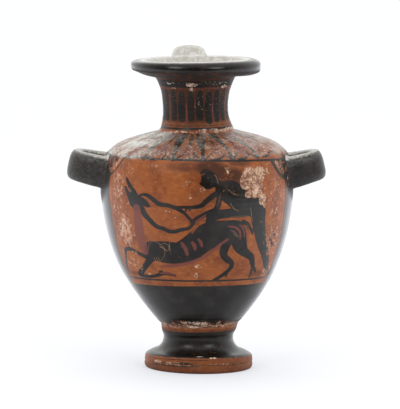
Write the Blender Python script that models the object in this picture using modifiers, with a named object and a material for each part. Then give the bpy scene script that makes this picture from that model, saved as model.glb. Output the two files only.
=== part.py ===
"""Small black-figure hydria, a Greek water jar about 18 cm tall, fired as one body.

The jar is one object, "hydria": a turned, hollow vessel with a loop handle at each side of its
shoulder and an upright strap handle at its back. It stands on its foot ring at the origin, +Z up,
with its painted side towards -Y and the strap handle towards +Y.
"""

import math

import bmesh
import bpy
import numpy as np
from mathutils import Matrix

MM = 0.001

# Driving sizes, in millimetres
LIP_TOP = 175.0
WALL = 4.0
BORE_RADIUS = 14.0
FLOOR_HEIGHT = 25.0
RECESS_HEIGHT = 15.0
OVERCUT = 1.0

# The outer side from the lip down to the ground, as (radius, height) in millimetres. Each
# stretch is smooth, and where two stretches meet there is an arris.
RIM = [(27.0, LIP_TOP), (32.6, LIP_TOP)]
LIP = [(32.6, LIP_TOP), (35.7, 174.1), (36.6, 171.9), (35.6, 169.9)]
LIP_UNDERSIDE = [(35.6, 169.9), (30.0, 167.4), (23.6, 165.9)]
NECK = [
    (22.9, 165.4), (21.3, 162.0), (19.8, 157.6), (19.1, 152.8), (18.7, 147.8), (19.1, 142.8), (20.7, 136.8),
]
SHOULDER = [
    (21.4, 135.3), (29.8, 133.2), (38.6, 130.6), (45.6, 127.3), (50.5, 122.8), (53.0, 117.0), (54.1, 110.0),
]
BELLY = [
    (54.1, 110.0), (54.4, 103.0), (53.0, 89.0), (49.8, 73.5),
    (44.1, 58.0), (35.8, 43.6), (27.1, 32.0), (21.9, 26.0),
]
FILLET = [(21.9, 26.0), (21.2, 23.0), (20.2, 20.2)]
STEM = [(19.7, 19.9), (19.6, 17.4), (20.4, 14.4), (22.6, 12.0), (26.2, 10.5), (29.4, 9.2)]
FOOT_EDGE = [(30.2, 8.6), (30.5, 4.4)]
FOOT_GROOVE = [(30.0, 4.1), (30.1, 3.7), (30.9, 3.4)]
FOOT_BASE = [(31.0, 1.0), (30.4, 0.0)]

# The inside of the mouth and the underside of the foot, in the same terms
MOUTH = [
    (28.6, LIP_TOP + OVERCUT), (27.5, 174.0), (24.0, 170.4),
    (19.2, 164.6), (15.8, 157.4), (BORE_RADIUS, 147.8),
]
THROAT = [(BORE_RADIUS, 147.8), (14.6, 141.0), (16.4, 135.4), (20.5, 131.8)]
RECESS = [(10.0, RECESS_HEIGHT), (15.0, 8.6), (20.4, 2.8), (23.6, -OVERCUT)]
FLOOR_DISH = (0.62, 0.9)
FLOOR_RISE = 4.0
THROAT_STEP = 2.0

# The vessel was set on its foot leaning a little to -X, with the bend in the stem
LEAN = math.radians(1.4)
LEAN_FROM = 13.0
LEAN_TO = 20.0

# Side handles: a flat loop of hand-shaped bar, tilted up towards its outer end
LOOP_REACH = 68.8
LOOP_START = 44.0
LOOP_ROOT = 53.0
LOOP_HALF_WIDTH = 11.9
LOOP_HEIGHT = 112.6
LOOP_UNEVEN = 0.8
LOOP_TILT = math.radians(10.0)
LOOP_BAR = (8.6, 17.8)
LOOP_ROOT_SWELL = 0.10
LOOP_SWELL_POWER = 1.5

# Back handle: a strap from the lip out and down to the shoulder, as (distance from axis, height)
STRAP_PATH = [
    (29.0, 172.0), (34.5, 176.2), (40.2, 176.9), (46.0, 173.4), (49.6, 165.6),
    (50.3, 155.6), (48.8, 144.6), (46.0, 136.0), (42.0, 127.6),
]
STRAP_BAR = (7.6, 18.4)
STRAP_TURN = math.radians(5.2)

# How finely the shapes are made: distances between points along a curve are in millimetres
TURNING_STEPS = 48
FINE_SPACING = 2.4
STEM_SPACING = 3.0
SPACING = 4.6
WIDE_SPACING = 7.0
INNER_SPACING = 10.0
SHARED_POINT = 0.05
BAR_SIDES = 16
LOOP_SQUARENESS = 3.0
STRAP_SQUARENESS = 2.2
LOOP_POINTS = 19
CLAY_BLACK = (0.045, 0.038, 0.034, 1.0)
CLAY_ROUGHNESS = 0.34
SHARP_EDGE = math.radians(32.0)
WELD = 0.00001


def clear_scene():
    for obj in list(bpy.data.objects):
        bpy.data.objects.remove(obj, do_unlink=True)


def new_collection(name, hidden=False):
    collection = bpy.data.collections.new(name)
    collection.hide_render = hidden
    bpy.context.scene.collection.children.link(collection)
    return collection


def smooth(stations, spacing=SPACING):
    """Centripetal Catmull-Rom curve through the stations, with a point about every `spacing` mm."""
    points = np.array(stations, float)
    first = 2 * points[0] - points[1]
    last = 2 * points[-1] - points[-2]
    guide = np.vstack([first, points, last])
    knots = np.concatenate([[0.0], np.cumsum(np.linalg.norm(np.diff(guide, axis=0), axis=1) ** 0.5)])
    rows = [points[:1]]
    for index in range(1, len(guide) - 2):
        p0, p1, p2, p3 = guide[index - 1:index + 3]
        t0, t1, t2, t3 = knots[index - 1:index + 3]
        count = max(1, round(float(np.linalg.norm(p2 - p1)) / spacing))
        t = np.linspace(t1, t2, count + 1)[1:, None]
        a1 = (t1 - t) / (t1 - t0) * p0 + (t - t0) / (t1 - t0) * p1
        a2 = (t2 - t) / (t2 - t1) * p1 + (t - t1) / (t2 - t1) * p2
        a3 = (t3 - t) / (t3 - t2) * p2 + (t - t2) / (t3 - t2) * p3
        b1 = (t2 - t) / (t2 - t0) * a1 + (t - t0) / (t2 - t0) * a2
        b2 = (t3 - t) / (t3 - t1) * a2 + (t - t1) / (t3 - t1) * a3
        rows.append((t2 - t) / (t2 - t1) * b1 + (t - t1) / (t2 - t1) * b2)
    return np.vstack(rows)


def moved_in(path, distance):
    """The path moved by `distance` mm to its right, which on an outer wall going down is inwards."""
    along = np.gradient(path, axis=0)
    along /= np.linalg.norm(along, axis=1, keepdims=True)
    return path + distance * np.column_stack([along[:, 1], -along[:, 0]])


def joined(*stretches):
    """The stretches end to end, without the points that two of them share."""
    path = stretches[0]
    for stretch in stretches[1:]:
        shared = np.linalg.norm(stretch[0] - path[-1]) < SHARED_POINT
        path = np.vstack([path, stretch[1 if shared else 0:]])
    return path


def outer_path():
    """Lip to ground, closed on the axis at the top and the bottom."""
    return joined(
        np.array([(0.0, LIP_TOP)]),
        np.array(RIM),
        smooth(LIP, FINE_SPACING),
        smooth(LIP_UNDERSIDE),
        smooth(NECK),
        smooth(SHOULDER),
        smooth(BELLY, WIDE_SPACING),
        smooth(FILLET),
        smooth(STEM, STEM_SPACING),
        np.array(FOOT_EDGE),
        np.array(FOOT_GROOVE),
        np.array(FOOT_BASE),
        np.array([(0.0, 0.0)]),
    )


def cavity_path():
    """The hollow inside, from above the mouth down to the floor."""
    outer = joined(smooth(SHOULDER, WIDE_SPACING), smooth(BELLY, INNER_SPACING))
    wall = moved_in(outer, WALL)
    below_throat = (wall[:, 0] > THROAT[-1][0] + THROAT_STEP) | (wall[:, 1] < LOOP_HEIGHT)
    wall = wall[below_throat & (wall[:, 1] > FLOOR_HEIGHT + FLOOR_RISE)]
    turned_up = (wall[-1][0] * FLOOR_DISH[0], FLOOR_HEIGHT + FLOOR_DISH[1])
    floor = smooth([tuple(wall[-1]), turned_up, (0.0, FLOOR_HEIGHT)], WIDE_SPACING)
    top = np.array([(0.0, LIP_TOP + OVERCUT)])
    return joined(top, smooth(MOUTH, WIDE_SPACING), smooth(THROAT, WIDE_SPACING), wall, floor)


def recess_path():
    """The hollow under the foot, from its roof down to below the ground."""
    roof = np.array([(0.0, RECESS_HEIGHT)])
    below = np.array([(0.0, RECESS[-1][1])])
    return joined(roof, smooth(RECESS, WIDE_SPACING), below)


def turned(name, path, collection):
    """The path in millimetres turned about Z."""
    mesh = bpy.data.meshes.new(name)
    points = [(float(r) * MM, 0.0, float(z) * MM) for r, z in path]
    mesh.from_pydata(points, [(i, i + 1) for i in range(len(points) - 1)], [])
    obj = bpy.data.objects.new(name, mesh)
    collection.objects.link(obj)
    screw = obj.modifiers.new("turning", "SCREW")
    screw.steps = TURNING_STEPS
    screw.render_steps = TURNING_STEPS
    screw.use_merge_vertices = True
    screw.merge_threshold = WELD
    return obj


def superellipse(angle, width, height, squareness):
    """Points at these angles on a rounded oblong: an ellipse at squareness 2, boxier above it."""
    bow = 2.0 / squareness
    x = 0.5 * width * np.sign(np.cos(angle)) * np.abs(np.cos(angle)) ** bow
    y = 0.5 * height * np.sign(np.sin(angle)) * np.abs(np.sin(angle)) ** bow
    return np.column_stack([x, y])


def mesh_of(obj):
    """A new mesh with the shape that the object's curve or modifiers give it."""
    bpy.context.view_layer.update()
    evaluated = obj.evaluated_get(bpy.context.evaluated_depsgraph_get())
    return bpy.data.meshes.new_from_object(evaluated)


def curve_object(name, points, cyclic, dimensions, collection):
    curve = bpy.data.curves.new(name, "CURVE")
    curve.dimensions = dimensions
    spline = curve.splines.new("POLY")
    spline.points.add(len(points) - 1)
    for point, (x, y) in zip(spline.points, points):
        point.co = (float(x) * MM, float(y) * MM, 0.0, 1.0)
    spline.use_cyclic_u = cyclic
    obj = bpy.data.objects.new(name, curve)
    collection.objects.link(obj)
    return obj


def bar(name, path, swell, section_shape, place, collection):
    """A bar along a flat path in its own XY plane, as a closed mesh.

    `section_shape` holds the bar's size in that plane, its size across it and its squareness, and
    `swell` is how much thicker the bar is at each point of the path.
    """
    round_angle = np.linspace(0.0, 2.0 * math.pi, BAR_SIDES, endpoint=False)
    outline = superellipse(round_angle, *section_shape)
    section = curve_object(name + "_section", outline, True, "2D", collection)
    guide = curve_object(name + "_path", path, False, "3D", collection)
    guide.data.bevel_mode = "OBJECT"
    guide.data.bevel_object = section
    guide.data.use_fill_caps = True
    guide.data.twist_mode = "Z_UP"
    for point, grown in zip(guide.data.splines[0].points, swell):
        point.radius = 1.0 + float(grown)
    mesh = mesh_of(guide)
    bpy.data.objects.remove(guide, do_unlink=True)
    bpy.data.objects.remove(section, do_unlink=True)
    work = bmesh.new()
    work.from_mesh(mesh)
    bmesh.ops.remove_doubles(work, verts=work.verts, dist=WELD)
    bmesh.ops.recalc_face_normals(work, faces=work.faces)
    work.to_mesh(mesh)
    work.free()
    mesh.transform(place)
    obj = bpy.data.objects.new(name, mesh)
    collection.objects.link(obj)
    return obj


def side_handle(name, side, collection):
    """The loop at +X (side 1) or -X (side -1): half of a squarish oval, swollen at its roots."""
    angle = np.linspace(-0.5 * math.pi, 0.5 * math.pi, LOOP_POINTS)
    length = LOOP_REACH - LOOP_START
    path = superellipse(angle, 2.0 * length, 2.0 * LOOP_HALF_WIDTH, LOOP_SQUARENESS)
    swell = LOOP_ROOT_SWELL * (1.0 - path[:, 0] / length) ** LOOP_SWELL_POWER
    root = Matrix.Translation((LOOP_ROOT * MM, 0.0, (LOOP_HEIGHT - side * LOOP_UNEVEN) * MM))
    tilt = Matrix.Rotation(-LOOP_TILT, 4, "Y")
    inwards = Matrix.Translation(((LOOP_START - LOOP_ROOT) * MM, 0.0, 0.0))
    turn = Matrix.Rotation(0.0 if side > 0 else math.pi, 4, "Z")
    place = turn @ root @ tilt @ inwards
    return bar(name, path, swell, (*LOOP_BAR, LOOP_SQUARENESS), place, collection)


def back_handle(name, collection):
    """The strap at the back: its path lies in the upright plane through the axis."""
    path = smooth(STRAP_PATH, 4.5)
    upright = Matrix.Rotation(0.5 * math.pi, 4, "X")
    to_back = Matrix.Rotation(0.5 * math.pi + STRAP_TURN, 4, "Z")
    section_shape = (*STRAP_BAR, STRAP_SQUARENESS)
    return bar(name, path, np.zeros(len(path)), section_shape, to_back @ upright, collection)


def boolean(obj, other, operation):
    modifier = obj.modifiers.new(other.name, "BOOLEAN")
    modifier.operation = operation
    modifier.solver = "EXACT"
    modifier.object = other


def clay_material():
    material = bpy.data.materials.new("black_slipped_clay")
    material.use_nodes = True
    shader = material.node_tree.nodes["Principled BSDF"]
    shader.inputs["Base Color"].default_value = CLAY_BLACK
    shader.inputs["Roughness"].default_value = CLAY_ROUGHNESS
    shader.inputs["Metallic"].default_value = 0.0
    return material


def leaned(obj, name, collection):
    """The finished shape of `obj`, leaning from its stem up and centred on its side handles."""
    mesh = mesh_of(obj)
    points = np.empty(3 * len(mesh.vertices), np.float32)
    mesh.vertices.foreach_get("co", points)
    points = points.reshape(-1, 3).astype(float)
    share = np.clip((points[:, 2] / MM - LEAN_FROM) / (LEAN_TO - LEAN_FROM), 0.0, 1.0)
    angle = LEAN * share ** 2 * (3.0 - 2.0 * share)
    across = points[:, 0].copy()
    rise = points[:, 2] - LEAN_FROM * MM
    points[:, 0] = across * np.cos(angle) - rise * np.sin(angle)
    points[:, 2] = LEAN_FROM * MM + rise * np.cos(angle) + across * np.sin(angle)
    points[:, 0] += (LOOP_HEIGHT - LEAN_FROM) * MM * math.sin(LEAN)
    mesh.vertices.foreach_set("co", points.astype(np.float32).ravel())
    mesh.update()
    mesh.shade_smooth()
    mesh.set_sharp_from_angle(angle=SHARP_EDGE)
    finished = bpy.data.objects.new(name, mesh)
    collection.objects.link(finished)
    return finished


def main():
    clear_scene()
    jar = new_collection("black_figure_hydria")
    cutters = new_collection("cutters", hidden=True)
    body = turned("turned_body", outer_path(), cutters)
    for handle in (
        side_handle("loop_left", -1, cutters),
        side_handle("loop_right", 1, cutters),
        back_handle("strap_back", cutters),
    ):
        boolean(body, handle, "UNION")
    boolean(body, turned("cavity", cavity_path(), cutters), "DIFFERENCE")
    boolean(body, turned("foot_recess", recess_path(), cutters), "DIFFERENCE")
    hydria = leaned(body, "hydria", jar)
    hydria.data.materials.clear()
    hydria.data.materials.append(clay_material())
    for helper in cutters.objects:
        helper.hide_render = True
        helper.display_type = "WIRE"


main()
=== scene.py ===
"""Looks of a small black-figure hydria: one skin of fired clay with its painted picture.

The jar is worked out in millimetres on its own upright axis. A place on its wall is given by the
angle round from the front in degrees, positive to the right, and by the height, or by the arc
length along the turned profile. The finished skin is then leaned on its foot and set in metres.
"""

import logging
import math
from dataclasses import dataclass, field
from enum import Enum
from functools import reduce

import bmesh
import bpy
import numpy as np
from mathutils import Matrix, Vector


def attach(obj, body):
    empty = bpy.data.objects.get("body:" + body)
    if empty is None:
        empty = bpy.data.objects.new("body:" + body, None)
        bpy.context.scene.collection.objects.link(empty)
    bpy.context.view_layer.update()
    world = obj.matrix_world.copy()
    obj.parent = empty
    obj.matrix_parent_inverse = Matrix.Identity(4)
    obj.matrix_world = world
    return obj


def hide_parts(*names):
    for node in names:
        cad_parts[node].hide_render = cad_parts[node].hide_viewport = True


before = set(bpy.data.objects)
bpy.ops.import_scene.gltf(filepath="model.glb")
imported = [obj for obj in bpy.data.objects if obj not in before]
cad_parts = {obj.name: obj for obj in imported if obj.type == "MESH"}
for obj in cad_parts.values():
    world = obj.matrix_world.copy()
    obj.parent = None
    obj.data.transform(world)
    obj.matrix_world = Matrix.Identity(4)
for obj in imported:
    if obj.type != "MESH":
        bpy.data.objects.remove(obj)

LOG = logging.getLogger("hydria")
Array = np.ndarray
Pair = tuple[float, float]
Triple = tuple[float, float, float]
Color = Triple
Line = tuple[Triple, ...]
Patch = tuple[float, float, float, float, float]
MM = 0.001
FULL_TURN = 360.0


# ---------------------------------------------------------------- curves and noise


def smooth(stations: Array, per_span: int = 24) -> Array:
    """Centripetal Catmull-Rom curve through the stations.

    Each span is a cubic whose knots are the square roots of the distances between stations.

    Args:
        stations: (n, d) points.
        per_span: points worked out for each span.

    Returns:
        (m, d) points, the first and last stations included.
    """
    points = np.asarray(stations, float)
    guide = np.vstack([2.0 * points[0] - points[1], points, 2.0 * points[-1] - points[-2]])
    knots = np.concatenate([[0.0], np.cumsum(np.linalg.norm(np.diff(guide, axis=0), axis=1) ** 0.5)])
    p0, p1, p2, p3 = (guide[k:k + len(points) - 1, None, :] for k in range(4))
    t0, t1, t2, t3 = (knots[k:k + len(points) - 1, None, None] for k in range(4))
    t = t1 + (t2 - t1) * np.linspace(0.0, 1.0, per_span, endpoint=False)[None, :, None]
    a1 = (t1 - t) / (t1 - t0) * p0 + (t - t0) / (t1 - t0) * p1
    a2 = (t2 - t) / (t2 - t1) * p1 + (t - t1) / (t2 - t1) * p2
    a3 = (t3 - t) / (t3 - t2) * p2 + (t - t2) / (t3 - t2) * p3
    b1 = (t2 - t) / (t2 - t0) * a1 + (t - t0) / (t2 - t0) * a2
    b2 = (t3 - t) / (t3 - t1) * a2 + (t - t1) / (t3 - t1) * a3
    spans = (t2 - t) / (t2 - t1) * b1 + (t - t1) / (t2 - t1) * b2
    return np.vstack([spans.reshape(-1, points.shape[1]), points[-1:]])


def arc_length(path: Array) -> Array:
    """Distance along a path at each of its points, starting from 0."""
    return np.concatenate([[0.0], np.cumsum(np.linalg.norm(np.diff(path, axis=0), axis=1))])


def directions(path: Array, *at: Array) -> Array:
    """Unit directions along a path, at each of its points or of its coordinates `at`."""
    along = np.gradient(path, *at, axis=0)
    return along / np.linalg.norm(along, axis=1, keepdims=True)


def resampled(path: Array, count: int) -> Array:
    """The path as `count` points at equal distances along it."""
    along = arc_length(path)
    places = np.linspace(0.0, along[-1], count)
    return np.column_stack([np.interp(places, along, column) for column in path.T])


def stations_between(low: float, high: float, spacing: Array, at: Array) -> Array:
    """Places between two limits whose distance apart follows a changing spacing.

    The running sum of 1 / spacing counts the steps, and the places are where it passes each half.

    Args:
        low: first limit.
        high: last limit.
        spacing: wished distance between places, at each of `at`.
        at: rising coordinates at which the spacing is given.

    Returns:
        The places, half a step inside both limits.
    """
    fine = np.linspace(low, high, 4001)
    middles = 0.5 * (fine[1:] + fine[:-1])
    steps = np.concatenate([[0.0], np.cumsum(np.diff(fine) / np.interp(middles, at, spacing))])
    count = max(1, round(steps[-1]))
    return np.interp((np.arange(count) + 0.5) * steps[-1] / count, steps, fine)


def oblong(width: float, height: float, squareness: float, count: int) -> Array:
    """Points evenly spread round a superellipse, |2x/w|^n + |2y/h|^n = 1, starting at +x."""
    angle = np.linspace(0.0, 2.0 * math.pi, 1441)
    cosine, sine = np.cos(angle), np.sin(angle)
    x = 0.5 * width * np.sign(cosine) * np.abs(cosine) ** (2.0 / squareness)
    y = 0.5 * height * np.sign(sine) * np.abs(sine) ** (2.0 / squareness)
    return resampled(np.column_stack([x, y]), count + 1)[:-1]


def smoothstep(low: float, high: float, value: Array) -> Array:
    """0 below `low`, 1 above `high` and 3t^2 - 2t^3 between them."""
    t = np.clip((value - low) / (high - low), 0.0, 1.0)
    return t * t * (3.0 - 2.0 * t)


def fading(low: float, high: float, value: Array) -> Array:
    """1 below `low`, 0 above `high` and smooth between them."""
    return 1.0 - smoothstep(low, high, value)


def between(rise: Pair, fall: Pair, value: Array) -> Array:
    """1 between two limits and 0 beyond them, smooth over the span of each."""
    return smoothstep(*rise, value) * fading(*fall, value)


def lattice_noise(points: Array, cell: float, seed: int) -> Array:
    """Smooth noise from -1 to 1: random values on a cubic lattice, blended between its corners.

    Args:
        points: (n, 3) places in mm.
        cell: lattice spacing in mm.
        seed: picks the pattern.

    Returns:
        (n,) values.
    """
    scaled = points / cell
    base = np.floor(scaled).astype(np.int64)
    part = scaled - base
    part = part * part * (3.0 - 2.0 * part)
    total = np.zeros(len(points))
    for corner in range(8):
        bits = np.array([corner & 1, corner >> 1 & 1, corner >> 2 & 1])
        x, y, z = (base + bits).T
        mixed = (x * 73856093 ^ y * 19349663 ^ z * 83492791 ^ (seed * 2654435761)) & 0xFFFFFFFF
        mixed = (mixed ^ mixed >> 15) * 2246822519 & 0xFFFFFFFF
        mixed = (mixed ^ mixed >> 13) * 3266489917 & 0xFFFFFFFF
        value = ((mixed ^ mixed >> 16) & 0xFFFFFF) / 0x7FFFFF - 1.0
        total += value * np.prod(np.where(bits, part, 1.0 - part), axis=1)
    return total


def layered_noise(points: Array, cell: float, seed: int, layers: int = 3) -> Array:
    """Noise layers of halving cell and strength, added together."""
    return sum(lattice_noise(points, cell / 2 ** k, seed + k) / 2 ** k for k in range(layers))


# ---------------------------------------------------------------- the turned wall


class Band(Enum):
    """The belts of the wall that have their own net of points, in the order of the profile."""

    INSIDE = "inside"
    LIP = "lip"
    NECK = "neck"
    SHOULDER = "shoulder"
    BELLY = "belly"
    LOWER = "lower"
    FOOT = "foot"
    UNDER = "under"


@dataclass(frozen=True)
class Stretch:
    """One smooth stretch of the profile between two arrises.

    Args:
        stations: (radius, height) in mm.
        belts: the belts along it, each with the height at which it ends and its spacing of rows.
    """

    stations: tuple[Pair, ...]
    belts: tuple[tuple[Band, float, float], ...]


@dataclass
class Profile:
    """The whole section of the jar as one path, from the floor inside to the hollow of the foot.

    The stretches are Catmull-Rom curves. Where two meet, the arris is softened by averaging the
    path along its length.
    """

    wall: float = 4.0
    floor_height: float = 25.0
    arris: float = 0.30
    step: float = 0.08
    outer_body: tuple[Pair, ...] = (
        (21.4, 135.3), (29.8, 133.2), (38.6, 130.6), (45.9, 127.3), (50.7, 122.8), (53.1, 117.0),
        (54.1, 110.0), (54.4, 103.0), (53.0, 89.0), (49.8, 73.5), (44.1, 58.0), (35.8, 43.6),
        (27.1, 32.0), (21.9, 26.0),
    )
    mouth: tuple[Pair, ...] = (
        (20.5, 131.8), (16.4, 135.4), (14.6, 141.0), (14.0, 147.8), (15.8, 157.4),
        (19.2, 164.6), (24.0, 170.4), (27.5, 174.0), (28.1, 174.8),
    )
    lip: tuple[Pair, ...] = ((32.2, 175.0), (34.6, 174.7), (36.2, 173.6), (36.6, 171.9), (35.7, 169.9))
    neck: tuple[Pair, ...] = (
        (22.3, 165.4), (20.7, 162.0), (19.2, 157.6), (18.5, 152.8), (18.2, 147.8), (18.6, 142.8),
        (20.3, 136.8),
    )
    stem: tuple[Pair, ...] = (
        (19.7, 19.9), (19.7, 17.4), (20.6, 14.7), (22.9, 12.4), (26.6, 10.9), (29.6, 9.3),
    )
    s: Array = field(init=False)
    r: Array = field(init=False)
    z: Array = field(init=False)
    normal: Array = field(init=False)
    row: Array = field(init=False)
    bounds: dict[Band, Pair] = field(init=False)

    def __post_init__(self) -> None:
        """Lays the stretches end to end, softens the arrises and finds where each belt lies."""
        path, spacing, belt = [], [], []
        for stretch in self.stretches():
            curve = smooth(np.array(stretch.stations))
            curve = resampled(curve, max(3, round(arc_length(curve)[-1] / self.step) + 1))
            ends = np.array([end for _, end, _ in stretch.belts])
            which = np.minimum((curve[:, 1:] < ends[None, :]).sum(axis=1), len(ends) - 1)
            path.append(curve)
            spacing.append(np.array([row for _, _, row in stretch.belts])[which])
            order = np.array([list(Band).index(band) for band, _, _ in stretch.belts])
            belt.append(order[which])
        rough = np.vstack(path)
        starts = np.cumsum([0] + [len(curve) for curve in path[:-1]])
        measure = arc_length(rough)
        points = self.softened(resampled(rough, round(measure[-1] / self.step) + 1))
        self.s = arc_length(points)
        self.r, self.z = points.T
        along = directions(points, self.s)
        self.normal = np.column_stack([-along[:, 1], along[:, 0]])
        scaled = measure * self.s[-1] / measure[-1]
        belts = np.concatenate(belt)
        edges = np.concatenate([[0.0], [scaled[belts == k][0] for k in range(1, len(Band))], [self.s[-1]]])
        self.bounds = {band: (edges[k], edges[k + 1]) for k, band in enumerate(Band)}
        corners = np.array([scaled[k] for k in starts if self.bends(scaled[k])])
        nearest = np.abs(self.s[:, None] - corners[None, :]).min(axis=1)
        self.row = np.minimum(np.interp(self.s, scaled, np.concatenate(spacing)), 0.34 + 0.5 * nearest)

    def stretches(self) -> list[Stretch]:
        """The profile's stretches: up the inside, over the lip, down the outside, under the foot."""
        plain = lambda band, row, *stations: Stretch(stations, ((band, 0.0, row),))
        body = ((Band.SHOULDER, 124.7, 0.62), (Band.BELLY, 48.0, 0.46), (Band.LOWER, 0.0, 1.0))
        return [
            plain(Band.INSIDE, 4.0, *self.inner_wall()),
            plain(Band.INSIDE, 2.4, *self.mouth),
            plain(Band.LIP, 1.1, (28.6, 175.0), self.lip[0]),
            plain(Band.LIP, 0.75, *self.lip),
            plain(Band.LIP, 1.2, self.lip[-1], (30.0, 167.7), (23.2, 165.9)),
            plain(Band.NECK, 0.52, *self.neck),
            Stretch(self.outer_body, body),
            plain(Band.FOOT, 0.75, self.outer_body[-1], (21.2, 23.0), (20.2, 20.2)),
            plain(Band.FOOT, 1.0, *self.stem),
            plain(Band.FOOT, 1.0, (30.2, 8.6), (30.5, 4.4)),
            plain(Band.FOOT, 0.5, (29.9, 4.1), (29.9, 3.7), (30.4, 3.4)),
            plain(Band.FOOT, 0.8, (30.5, 3.2), (30.5, 1.5), (30.2, 0.6), (29.6, 0.0)),
            plain(Band.UNDER, 2.4, (29.2, 0.0), (23.0, 0.0)),
            plain(Band.UNDER, 2.8, (22.6, 0.4), (20.4, 2.8), (15.0, 8.6), (10.0, 13.4), (0.0, 15.0)),
        ]

    def inner_wall(self) -> tuple[Pair, ...]:
        """The inside of the body: the outer wall moved in by its thickness, and a dished floor."""
        outer = smooth(np.array(self.outer_body[1:]), 6)[::-1]
        along = directions(outer)
        moved = outer + self.wall * np.column_stack([-along[:, 1], along[:, 0]])
        moved = moved[(moved[:, 1] > self.floor_height + 4.0) & (moved[:, 1] < 130.6)]
        rising = [(0.0, self.floor_height), (0.62 * moved[0, 0], self.floor_height + 0.9)]
        return tuple(rising + [(float(r), float(z)) for r, z in moved[::6]])

    def softened(self, points: Array) -> Array:
        """The path averaged with a bell-shaped weight, turned over the axis at both ends."""
        reach = int(4.0 * self.arris / self.step)
        over = np.array([-1.0, 1.0])
        padded = np.vstack([points[reach:0:-1] * over, points, points[-2:-reach - 2:-1] * over])
        offsets = np.arange(-reach, reach + 1) * self.step
        bell = np.exp(-0.5 * (offsets / self.arris) ** 2)
        bell /= bell.sum()
        return np.column_stack([np.convolve(column, bell, "valid") for column in padded.T])

    def bends(self, place: float) -> bool:
        """Whether the profile turns sharply at this arc length."""
        before = self.normal[np.searchsorted(self.s, max(0.0, place - 1.2))]
        after = self.normal[min(len(self.s) - 1, np.searchsorted(self.s, place + 1.2))]
        return float(before @ after) < 0.93

    def rows(self, band: Band, spacing: float | None = None) -> Array:
        """Arc lengths of the rows of a belt, at its own spacing or at the one given."""
        low, high = self.bounds[band]
        row = self.row if spacing is None else np.full_like(self.s, spacing)
        return stations_between(low, high, row, self.s)

    def at(self, s: Array) -> tuple[Array, Array]:
        """Radius and height in mm at these arc lengths."""
        return np.interp(s, self.s, self.r), np.interp(s, self.s, self.z)

    def place_of_height(self, height: Array) -> Array:
        """Arc length at which the outside, from the neck down to the foot, reaches a height."""
        outside = (self.s >= self.bounds[Band.NECK][0]) & (self.s <= self.bounds[Band.FOOT][1])
        falling = np.minimum.accumulate(self.z[outside])
        return np.interp(height, falling[::-1], self.s[outside][::-1])


@dataclass
class Wall:
    """The turned wall with its hand-made unevenness, as a function of angle and arc length."""

    profile: Profile = field(default_factory=Profile)
    sway_heights: tuple[float, ...] = (
        0.0, 12.0, 17.0, 26.0, 42.0, 62.0, 132.0, 138.5, 142.5, 151.0, 163.0, 171.0, 175.0, 182.0,
    )
    sway_offsets: tuple[float, ...] = (
        0.0, 0.0, -0.35, 0.7, 0.75, 0.0, 0.0, 0.1, -0.3, -0.45, -0.15, -0.4, -0.5, -0.5,
    )
    foot_rise: float = 1.6
    rim_rise: float = 0.8
    lip_droop: float = 1.6
    settling: float = 0.8
    low_foot: float = 0.75

    def frame(self, phi: Array, s: Array) -> tuple[Array, Array, Array, Array]:
        """Position and outward direction on the plain turned wall.

        A point is (r sin phi, -r cos phi, z), with r and z read from the profile.

        Args:
            phi: angles in degrees, 0 at the front.
            s: arc lengths in mm.

        Returns:
            Positions (n, 3), normals (n, 3), radii (n,) and heights (n,).
        """
        r, z = self.profile.at(s)
        angle = np.radians(phi)
        nr = np.interp(s, self.profile.s, self.profile.normal[:, 0])
        nz = np.interp(s, self.profile.s, self.profile.normal[:, 1])
        sine, cosine = np.sin(angle), np.cos(angle)
        points = np.column_stack([r * sine, -r * cosine, z])
        return points, np.column_stack([nr * sine, -nr * cosine, nz]), r, z

    def unevenness(self, phi: Array, s: Array) -> Array:
        """How far the wall stands out from a perfect turning, in mm.

        Broad noise for the potter's hand, faint rings from the wheel that fade in and out, a lip
        that is thicker on one side, and a fine grain.
        """
        points, _, r, z = self.frame(phi, s)
        angle = np.radians(phi)
        broad = 0.16 * lattice_noise(points, 26.0, 11) + 0.05 * lattice_noise(points, 7.0, 12)
        rings = np.sin(z * 2.3 + 0.9 * lattice_noise(points, 30.0, 13)) * lattice_noise(points, 34.0, 14)
        heavy_lip = 0.45 * np.sin(angle + 0.25) * between((167.0, 169.5), (172.5, 174.2), z)
        grain = 0.025 * lattice_noise(points, 0.9, 15)
        calm = smoothstep(3.0, 9.0, r) * smoothstep(0.2, 2.0, z)
        return calm * (broad + 0.035 * rings + heavy_lip + grain)

    def swayed(self, points: Array) -> Array:
        """Points moved by the throwing's small errors.

        The axis sways with height. The edge of the foot and the top of the rim are higher in
        front, by the cosine of the angle, and the lip hangs lower on the right, by the sine squared.
        All above the foot has settled a little, and the foot's upper edge a little more.
        """
        x, y, z = points.T
        r = np.maximum(np.hypot(x, y), 1e-6)
        front, right = np.clip(-y / r, 0.0, 1.0), np.clip(x / r, 0.0, 1.0)
        edge = smoothstep(24.0, 28.5, r) * between((0.3, 3.4), (9.5, 13.0), z)
        rim = smoothstep(25.0, 30.0, r) * smoothstep(172.4, 174.8, z) * (r < 38.0)
        under = smoothstep(26.0, 33.0, r) * between((165.0, 167.0), (170.5, 173.8), z) * (r < 38.0)
        rise = self.foot_rise * edge * front + self.rim_rise * rim * front
        rise -= self.lip_droop * under * right ** 2
        rise -= self.settling * smoothstep(0.0, 9.0, z)
        rise -= self.low_foot * between((2.0, 9.0), (9.5, 20.0), z)
        moved = points.copy()
        moved[:, 0] += np.interp(z, self.sway_heights, self.sway_offsets)
        moved[:, 2] += rise
        return moved


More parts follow.
